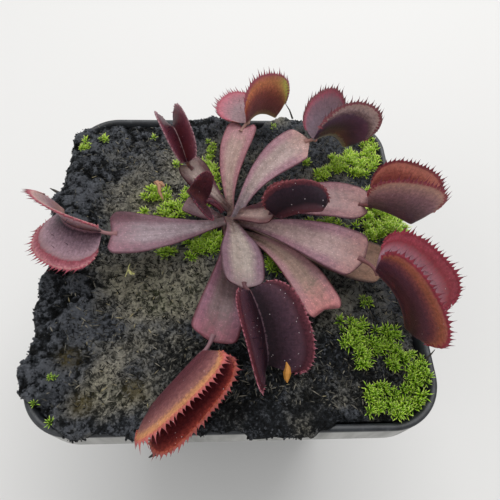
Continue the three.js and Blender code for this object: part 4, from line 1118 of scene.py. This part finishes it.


# bands of colour from the midrib (0) to the margin (1), inside and outside, the teeth's foot and tip, and how
# many of the possible painted glints show
TRAP_COLOURS = {
    "a": ([(0, "#7a5560"), (0.06, "#2c1a26"), (0.16, "#563e4a"), (0.36, "#8a6e7a"), (0.62, "#aa8a94"),
           (0.76, "#a07e84"), (0.82, "#8e4450"), (0.92, "#a3606a"), (1, "#b87a80")],
          [(0, "#94706a"), (0.5, "#8d6c74"), (0.8, "#a07f80"), (1, "#b88a84")], ("#a4505e", "#74303e"), 0.1),
    "b": ([(0, "#cdb4ba"), (0.05, "#341622"), (0.6, "#482230"), (0.88, "#582a3a"), (1, "#784452")],
          [(0, "#7a5058"), (0.3, "#40202e"), (0.85, "#4e2a3a"), (1, "#7c4c58")], ("#b48e94", "#8a5a64"), 0.3),
    # c: the bright orange band of the outer face is partly the lobe's own colour and partly a painted glow of
    # light through it from behind
    "c": ([(0, "#957070"), (0.1, "#8a6d72"), (0.5, "#8f7579"), (0.78, "#a06c76"), (0.9, "#a8626e"),
           (1, "#a35a66")],
          [(0, "#a08868"), (0.1, "#5e343e"), (0.32, "#6c323c"), (0.55, "#86393a"), (0.7, "#b65f48"),
           (0.84, "#cf7a52"), (0.93, "#c46a5c"), (1, "#a04c5a")], ("#964656", "#6c2c3c"), 0.1),
    "d": ([(0, "#7a6068"), (0.1, "#5f4953"), (0.5, "#6c5964"), (0.8, "#745662"), (0.92, "#7c3c4c"),
           (1, "#8a3a4a")],
          [(0, "#9a8a80"), (0.08, "#382636"), (0.3, "#2a1f30"), (0.66, "#3a2740"), (0.76, "#6a505a"),
           (0.85, "#a08486"), (0.95, "#aa8a86"), (1, "#8a585c")], ("#6e3a42", "#4a2630"), 0.1),
    "e": ([(0, "#6a3a3c"), (0.3, "#642a30"), (0.7, "#8c3f42"), (0.85, "#b0645a"), (0.94, "#b4685c"),
           (1, "#7e3440")],
          [(0, "#4a343e"), (0.3, "#563e4a"), (0.65, "#7c5662"), (0.82, "#966c6c"), (0.93, "#a87c70"),
           (1, "#a0605c")], ("#7c2c38", "#4a1a28"), 0.1),
    "f": ([(0, "#6a4a50"), (0.3, "#70505a"), (0.55, "#94707c"), (0.7, "#985a66"), (0.82, "#82303c"),
           (1, "#8a3644")],
          [(0, "#6a3a3c"), (0.06, "#36202c"), (0.3, "#2b1a27"), (0.6, "#3c2536"), (0.74, "#66323a"),
           (0.87, "#90483a"), (0.95, "#984e46"), (1, "#84303c")], ("#8c2e3c", "#4c1a2a"), 0.15),
    "g": ([(0, "#4a2a34"), (0.3, "#1c1018"), (0.85, "#301822"), (1, "#6a3034")],
          [(0, "#4a2830"), (0.25, "#1b1018"), (0.8, "#241620"), (0.92, "#4c222a"), (1, "#6e3438")],
          ("#7a3a40", "#4a2228"), 0.5),
    "i": ([(0, "#5c4650"), (0.03, "#1c1018"), (0.2, "#22141c"), (0.5, "#3c2834"), (0.74, "#4c323e"),
           (0.85, "#3c1c26"), (1, "#5c2c36")],
          [(0, "#5a3a40"), (0.3, "#38222d"), (0.8, "#4a2c38"), (1, "#6a3a40")], ("#8c4854", "#a8707c"), 0.5),
    "j": ([(0, "#4a2428"), (0.4, "#2c1218"), (0.78, "#44181e"), (0.92, "#6e2624"), (1, "#a84638")],
          [(0, "#5a3038"), (0.3, "#5a3238"), (0.6, "#724648"), (0.78, "#8c5c56"), (0.86, "#b47c58"),
           (0.94, "#bf8258"), (1, "#b8705c")], ("#ae5c58", "#883a44"), 0.3),
    "m": ([(0, "#4a2a32"), (0.3, "#2a141d"), (1, "#442230")],
          [(0, "#54323a"), (0.3, "#2e1620"), (0.8, "#402029"), (1, "#643644")], ("#84424e", "#5a2a36"), 0.3),
}
LIME = "#c4bb58"
LIME_TRAP = "c"
LIME_AT = (0.94, 0.94)      # along the midrib and out towards the right margin
LIME_REACH = 0.2

for number, (key, trap) in enumerate(TRAPS.items()):
    points, faces, fields = joined([lobe_points(trap), *tooth_points(trap, 100 + number), hair_points(trap)])
    make_piece(f"toothed_trap_{key}", points, faces, lobe_skin(f"trap_skin_{key}", *TRAP_COLOURS[key]),
               "trap_leaf", [f"trap_{key}"], fields, crease=50)


# ---------------------------------------------------------------- the moss
# Young bright moss on the bare peat: upright shoots a few millimetres across, each a
# star of narrow pointed leaves, close together in cushions and loose at their edges.

SHOOT_LEAVES = 14
LEAF_LENGTH = 1.8
LEAF_HALF_WIDTH = 0.13
SHOOT_RISE = 0.9            # from the lowest leaf of a shoot to the highest
SHOOT_LEAN = 0.16
SHOOT_SINK = 0.15           # how deep a shoot stands in the peat
LEAF_CLIMB = (18, 62)       # degrees of the lowest leaf, and how much steeper the highest stands
SPINDLE_POINTS = 10
GOLDEN_ANGLE = 2.39996

# centre, half sizes along x and y, and number of shoots, of each patch of a cushion
MOSS_PATCHES = {
    "front_right": [((33.8, -26.4), (7.4, 5.6), 150), ((26.4, -22.2), (2.4, 5.0), 24),
                    ((29.5, -29.0), (4.5, 3.2), 34)],
    "front_corner": [((33.8, -39.2), (7.2, 3.6), 80), ((41.4, -34.0), (2.2, 4.8), 34)],
    "back_right": [((37.8, 11.4), (5.0, 9.4), 180), ((42.6, 4.4), (3.6, 5.0), 80)],
    "back_corner": [((35.6, 28.6), (6.6, 5.6), 130), ((40.6, 33.6), (2.2, 5.4), 60),
                    ((25.2, 24.2), (3.0, 2.2), 22)],
    "crown_south_west": [((-7.4, -0.8), (4.6, 3.4), 64), ((-17.5, -2.6), (3.4, 1.4), 22)],
    "crown_north_west": [((-17.0, 10.6), (7.0, 2.8), 70), ((-20.4, 15.6), (3.8, 2.8), 34),
                         ((-22.6, 18.9), (1.6, 1.4), 10)],
    "crown_north": [((-6.6, 19.0), (2.6, 9.0), 80)],
    "crown_south_east": [((10.2, -3.8), (3.6, 3.8), 50), ((22.0, 6.0), (7.6, 2.0), 46)],
}
MOSS_STRAYS = [
    ((23.6, 20.4), (1.6, 1.2), 8), ((20.7, 27.2), (1.4, 1.2), 6), ((-41.4, 31.8), (1.1, 2.4), 12),
    ((-36.6, 34.5), (0.8, 0.9), 4), ((-23.5, 37.3), (1.0, 1.2), 5), ((-39.0, -33.3), (0.8, 0.8), 3),
    ((-41.0, -38.6), (0.5, 1.6), 4), ((-37.0, -42.2), (0.5, 0.5), 2), ((30.9, -15.7), (3.0, 2.0), 14),
    ((12, 41.0), (1.8, 1.0), 7), ((-15.5, 26.5), (1.2, 1.6), 6), ((-6.6, 31.0), (1.6, 4.0), 18),
    ((-20.5, 8.0), (2.0, 1.2), 9), ((-12.5, 15.0), (1.6, 2.4), 12)]
STRAY_VIGOUR = 0.75


def leaf_spindles(root, tip, sag, half_width):
    """Small closed leaves: a root point, two flat diamonds of four points at a third and two thirds of the
    way, and the tip, with the middle raised by sag so that the leaf arches."""
    along = unit(tip - root)
    wide = unit(np.cross(along, [0.0, 0.0, 1.0]) + 1e-6)
    deep = np.cross(wide, along)
    rings = []
    for place, share in ((0.33, 1.0), (0.7, 0.7)):
        raised = sag[:, None] * (4 * place * (1 - place))
        middle = root + (tip - root) * place + np.array([0, 0, 1.0]) * raised
        across = wide * (half_width * share)[:, None]
        through = deep * (half_width * share * 0.35)[:, None]
        rings.append(np.stack([middle + across, middle + through, middle - across, middle - through], axis=1))
    points = np.concatenate([root[:, None], *rings, tip[:, None]], axis=1)
    i = np.arange(4)
    j = (i + 1) % 4
    starts = np.arange(len(root))[:, None, None] * SPINDLE_POINTS
    fans = np.concatenate([np.stack([np.zeros(4, int), 1 + j, 1 + i], axis=1),
                           np.stack([np.full(4, 9), 5 + i, 5 + j], axis=1)])
    sides = np.stack([1 + i, 1 + j, 5 + j, 5 + i], axis=1)
    place = np.tile([0, 0.33, 0.33, 0.33, 0.33, 0.7, 0.7, 0.7, 0.7, 1.0], len(root))
    return points.reshape(-1, 3), [(fans + starts).reshape(-1, 3), (sides + starts).reshape(-1, 4)], place


def moss_shoots(patches, seed, size=1.0):
    """Shoots scattered over the patches' ellipses, closer in the middle: each has leaves set round it by
    the golden angle, the lower ones spreading, the upper ones upright."""
    rng = np.random.default_rng(seed)
    spots = []
    for (x, y), (wide, long), count in patches:
        angle = rng.uniform(0, 2 * math.pi, count)
        reach = 1.15 * rng.uniform(0, 1, count) ** 0.55
        spot = np.stack([x + wide * reach * np.cos(angle), y + long * reach * np.sin(angle)], axis=1)
        spots.append(spot[value_noise(spot[:, 0], spot[:, 1], 2.6, 51) > 1.7 * reach - 1.5])
    spots = np.concatenate(spots)
    count = len(spots)
    level = ground(spots[:, 0], spots[:, 1]) - SHOOT_SINK
    beside_lip = smooth((np.abs(spots).max(axis=1) - 38) / 5)
    foot = np.column_stack([spots, level + beside_lip * np.maximum(POT_HEIGHT - 0.4 - level, 0)])
    lean = rng.normal(0, SHOOT_LEAN, (count, 2))
    vigour = size * rng.uniform(0.75, 1.25, count)
    rank = np.arange(SHOOT_LEAVES) / (SHOOT_LEAVES - 1)
    turn = rng.uniform(0, 2 * math.pi, count)[:, None] + np.arange(SHOOT_LEAVES) * GOLDEN_ANGLE
    climb = np.radians(LEAF_CLIMB[0] + LEAF_CLIMB[1] * rank ** 1.2) + rng.normal(0, SHOOT_LEAN, turn.shape)
    stem = (0.25 + SHOOT_RISE * rank) * vigour[:, None]
    root = foot[:, None] + np.stack([lean[:, :1] * stem, lean[:, 1:] * stem, stem], axis=-1)
    length = LEAF_LENGTH * vigour[:, None] * rng.uniform(0.75, 1.2, turn.shape)
    way = np.stack([np.cos(turn) * np.cos(climb), np.sin(turn) * np.cos(climb), np.sin(climb)], axis=-1)
    tip = root + way * length[..., None]
    sag = (0.12 * length * np.cos(climb)).ravel()
    half_width = (LEAF_HALF_WIDTH * length / LEAF_LENGTH).ravel()
    points, faces, place = leaf_spindles(root.reshape(-1, 3), tip.reshape(-1, 3), sag, half_width)
    # painted light: shoots further back get the brighter colours, as if lit more by the light behind
    painted_light = 0.8 * smooth((foot[:, 1] + 12) / 24) + rng.uniform(-0.1, 0.45, count)
    tint = np.repeat((painted_light[:, None] + rng.uniform(-0.45, 0.45, turn.shape)).ravel(), SPINDLE_POINTS)
    return points, faces, {"place": place, "tint": tint}


def moss_green():
    """Wet living moss: thin bright leaves, dark at the root, yellow-green to nearly yellow at the tip."""
    made, tree, shader = start_material("moss_leaf_wet", Roughness=0.45, IOR=1.4, Subsurface_Weight=0.1)
    place, tint = (add(tree, "Attribute", out="Fac", attribute_name=field)
                   for field in ("place", "tint"))
    deep = add(tree, "ValToRGB", {0: place},
               ramp=[(0.0, "#0c1604"), (0.33, "#406810"), (0.72, "#98cc22"), (1.0, "#eefa86")])
    bright = add(tree, "ValToRGB", {0: place},
                 ramp=[(0.0, "#26380a"), (0.33, "#98cc1c"), (0.72, "#daf846"), (1.0, "#fdfeb8")])
    colour = add(tree, "Mix", {"Factor": tint, 6: deep, 7: bright}, out=2, data_type="RGBA")
    plug(shader, {"Base Color": colour})
    return made


moss_material = moss_green()
for number, (key, patches) in enumerate(MOSS_PATCHES.items()):
    points, faces, fields = moss_shoots(patches, 300 + number)
    make_piece(f"moss_cushion_{key}", points, faces, moss_material, "moss", [f"moss_{key}"], fields,
               crease=180)
points, faces, fields = moss_shoots(MOSS_STRAYS, 320, STRAY_VIGOUR)
make_piece("moss_strays", points, faces, moss_material, "moss", [], fields, crease=180)


# ---------------------------------------------------------------- litter on the peat
# Short fibres of broken moss and root strewn all over, and single bits: a curled dry
# leaf scrap, an orange seed scale caught in a trap, a yellow sprout, a twig and spikes
# that stand out over the lip.

FIBRE_COUNT = 9000
FIBRE_LENGTH = (0.8, 2.8)
FIBRE_HALF_WIDTH = 0.1
FIBRE_MARGIN = 1.5          # how far in from the edge of the bed they start
FLECKS_PER_MM = 1.2         # flecks of a dry skin, 0.8 mm


def strewn_fibres():
    """Short closed slivers lying on the bed, following its slope, any way round; a tint for each."""
    rng = np.random.default_rng(11)
    low = rng.uniform(-1, 1, (FIBRE_COUNT, 2)) * (INNER_HALF - FIBRE_MARGIN)
    heading = rng.uniform(0, 2 * math.pi, FIBRE_COUNT)
    length = rng.uniform(*FIBRE_LENGTH, FIBRE_COUNT) * rng.uniform(0.5, 1, FIBRE_COUNT)
    high = low + length[:, None] * np.stack([np.cos(heading), np.sin(heading)], axis=1)
    inside = np.abs(high).max(axis=1) < INNER_HALF - 1.2
    inside &= np.abs(high).sum(axis=1) < 2 * INNER_HALF - 8
    inside &= rng.uniform(0, 1, FIBRE_COUNT) > 0.75 * crust(low[:, 0], low[:, 1])
    low, high, length = low[inside], high[inside], length[inside]
    lift = rng.uniform(0.02, 0.16, len(low))
    root = np.column_stack([low, ground(low[:, 0], low[:, 1]) + lift])
    tip = np.column_stack([high, ground(high[:, 0], high[:, 1]) + lift + rng.uniform(-0.1, 0.3, len(low))])
    half_width = FIBRE_HALF_WIDTH * rng.uniform(0.6, 1.5, len(low))
    points, faces, _ = leaf_spindles(root, tip, 0.08 * length, half_width)
    return points, faces, {"tint": np.repeat(rng.uniform(0, 1, len(low)), SPINDLE_POINTS)}


def dry_fibre():
    """Dead moss and root fibre: mostly grey and olive grey, some tan, few straw yellow."""
    made, tree, shader = start_material("dead_fibre_dry", Roughness=0.8, Specular_IOR_Level=0.2)
    tint = add(tree, "Attribute", out="Fac", attribute_name="tint")
    colour = add(tree, "ValToRGB", {0: tint}, ramp=[
        (0.0, "#0e0e0d"), (0.45, "#2b2a26"), (0.7, "#56544d"), (0.97, "#8a8578"), (1.0, "#a69a74")])
    plug(shader, {"Base Color": colour})
    return made


points, faces, fields = strewn_fibres()
make_piece("peat_fibres", points, faces, dry_fibre(), "peat", [], fields, crease=180)


def dry_matter(name, code):
    """A plant's dry skin, of one colour with a little mottle."""
    made, tree, shader = start_material(name, Roughness=0.6, Specular_IOR_Level=0.3)
    place = add(tree, "TexCoord", out="Object")
    mottle = add(tree, "TexNoise", {"Vector": place, "Scale": FLECKS_PER_MM / MM, "Detail": 3.0})
    plug(shader, {"Base Color": shaded(tree, linear(code)[:3], (mottle, (0, 1), (0.65, 1.35)))})
    return made


def twigs(parts):
    """Several tapering tubes as one mesh; each part is its path's points and the radius at each of them."""
    meshes = [(*tube(np.array(path, float), np.array(radius, float), 6), {}) for path, radius in parts]
    return joined(meshes)[:2]


# name, material and colour, and the tubes of each
LITTER = [
    ("dry_scrap", "leaf_scrap_dry", "#b08468", [
        ([(-20.9, 18.3, 83.0), (-19.9, 17.4, 83.9), (-19.3, 16.4, 83.9), (-19.2, 14.6, 83.6),
          (-18.2, 12.6, 82.9)],
         [0.25, 0.75, 0.6, 0.45, 0.15]),
        ([(-19.9, 17.2, 83.6), (-18.9, 17.0, 84.1), (-18.0, 16.3, 83.9)], [0.4, 0.75, 0.3])]),
    ("seed_scale", "seed_scale_dry", "#b87f38", [
        ([(11.0, -31.8, 85.4), (11.2, -33.0, 85.7), (11.0, -34.2, 85.6), (10.9, -35.2, 85.2),
          (11.0, -36.0, 84.8)],
         [0.1, 0.55, 0.85, 0.6, 0.1])]),
    ("yellow_sprout", "sprout_fresh", "#d2cf8c", [
        ([(-24.9, -6.2, 82.2), (-25.0, -7.2, 82.9), (-25.0, -8.0, 82.9), (-25.7, -9.7, 82.2)],
         [0.1, 0.14, 0.16, 0.08]),
        ([(-25.0, -8.0, 82.9), (-24.4, -8.9, 83.0), (-24.1, -9.5, 82.9)], [0.12, 0.38, 0.1]),
        ([(-24.1, -8.9, 82.8), (-23.5, -9.3, 82.9)], [0.1, 0.3])]),
    ("lip_twigs", "twig_dark", "#3a352e", [
        ([(18.3, 44.0, 81.6), (17.2, 45.0, 84.0), (15.9, 45.9, 85.6)], [0.3, 0.2, 0.1]),
        ([(42.6, -30.6, 79.6), (43.8, -29.6, 81.8), (44.4, -28.9, 83.4)], [0.25, 0.2, 0.06]),
        ([(-45.4, 15.4, 81.6), (-47.0, 16.0, 82.4), (-48.2, 16.6, 82.6)], [0.5, 0.35, 0.1]),
        ([(-14.2, -47.9, 84.3), (-15.4, -49.0, 84.1), (-16.5, -49.5, 83.8)], [0.3, 0.4, 0.1])]),
]
for name, matter, code, tubes in LITTER:
    make_piece(name, *twigs(tubes), dry_matter(matter, code))


# ---------------------------------------------------------------- the floor and the light
# A plain pale floor, a large soft light behind on the right, and an even pale sky.

FLOOR_HALF = 3000.0

floor_material = start_material("pale_floor", Roughness=0.9, Base_Color=linear("#dedddb"))[0]
corners = np.array([[-1, -1, 0], [1, -1, 0], [1, 1, 0], [-1, 1, 0]]) * FLOOR_HALF
floor = put("floor", mesh_of("floor", corners, [np.array([[0, 1, 2, 3]])]))
floor.data.materials.append(floor_material)


def soft_light(name, place, target, size, power):
    """A square soft box at place, in mm, facing the target."""
    light = bpy.data.lights.new(name, "AREA")
    light.shape = "SQUARE"
    light.size = size * MM
    light.energy = power
    sight = unit(np.subtract(target, place).astype(float))
    aim(put(name, light), place, sight, unit(np.cross(sight, [0, 0, 1])))


soft_light("key_light", (120, 390, 720), (0, 0, 80), size=750, power=4.9)
soft_light("fill_light", (-500, -300, 500), (0, 0, 80), size=500, power=1.0)

sky = bpy.data.worlds.new("studio_sky")
sky.use_nodes = True
plug(sky.node_tree.nodes["Background"], {"Color": linear("#f4f5f6"), "Strength": 0.62})
bpy.context.scene.world = sky
bpy.context.scene.view_settings.view_transform = "Standard"
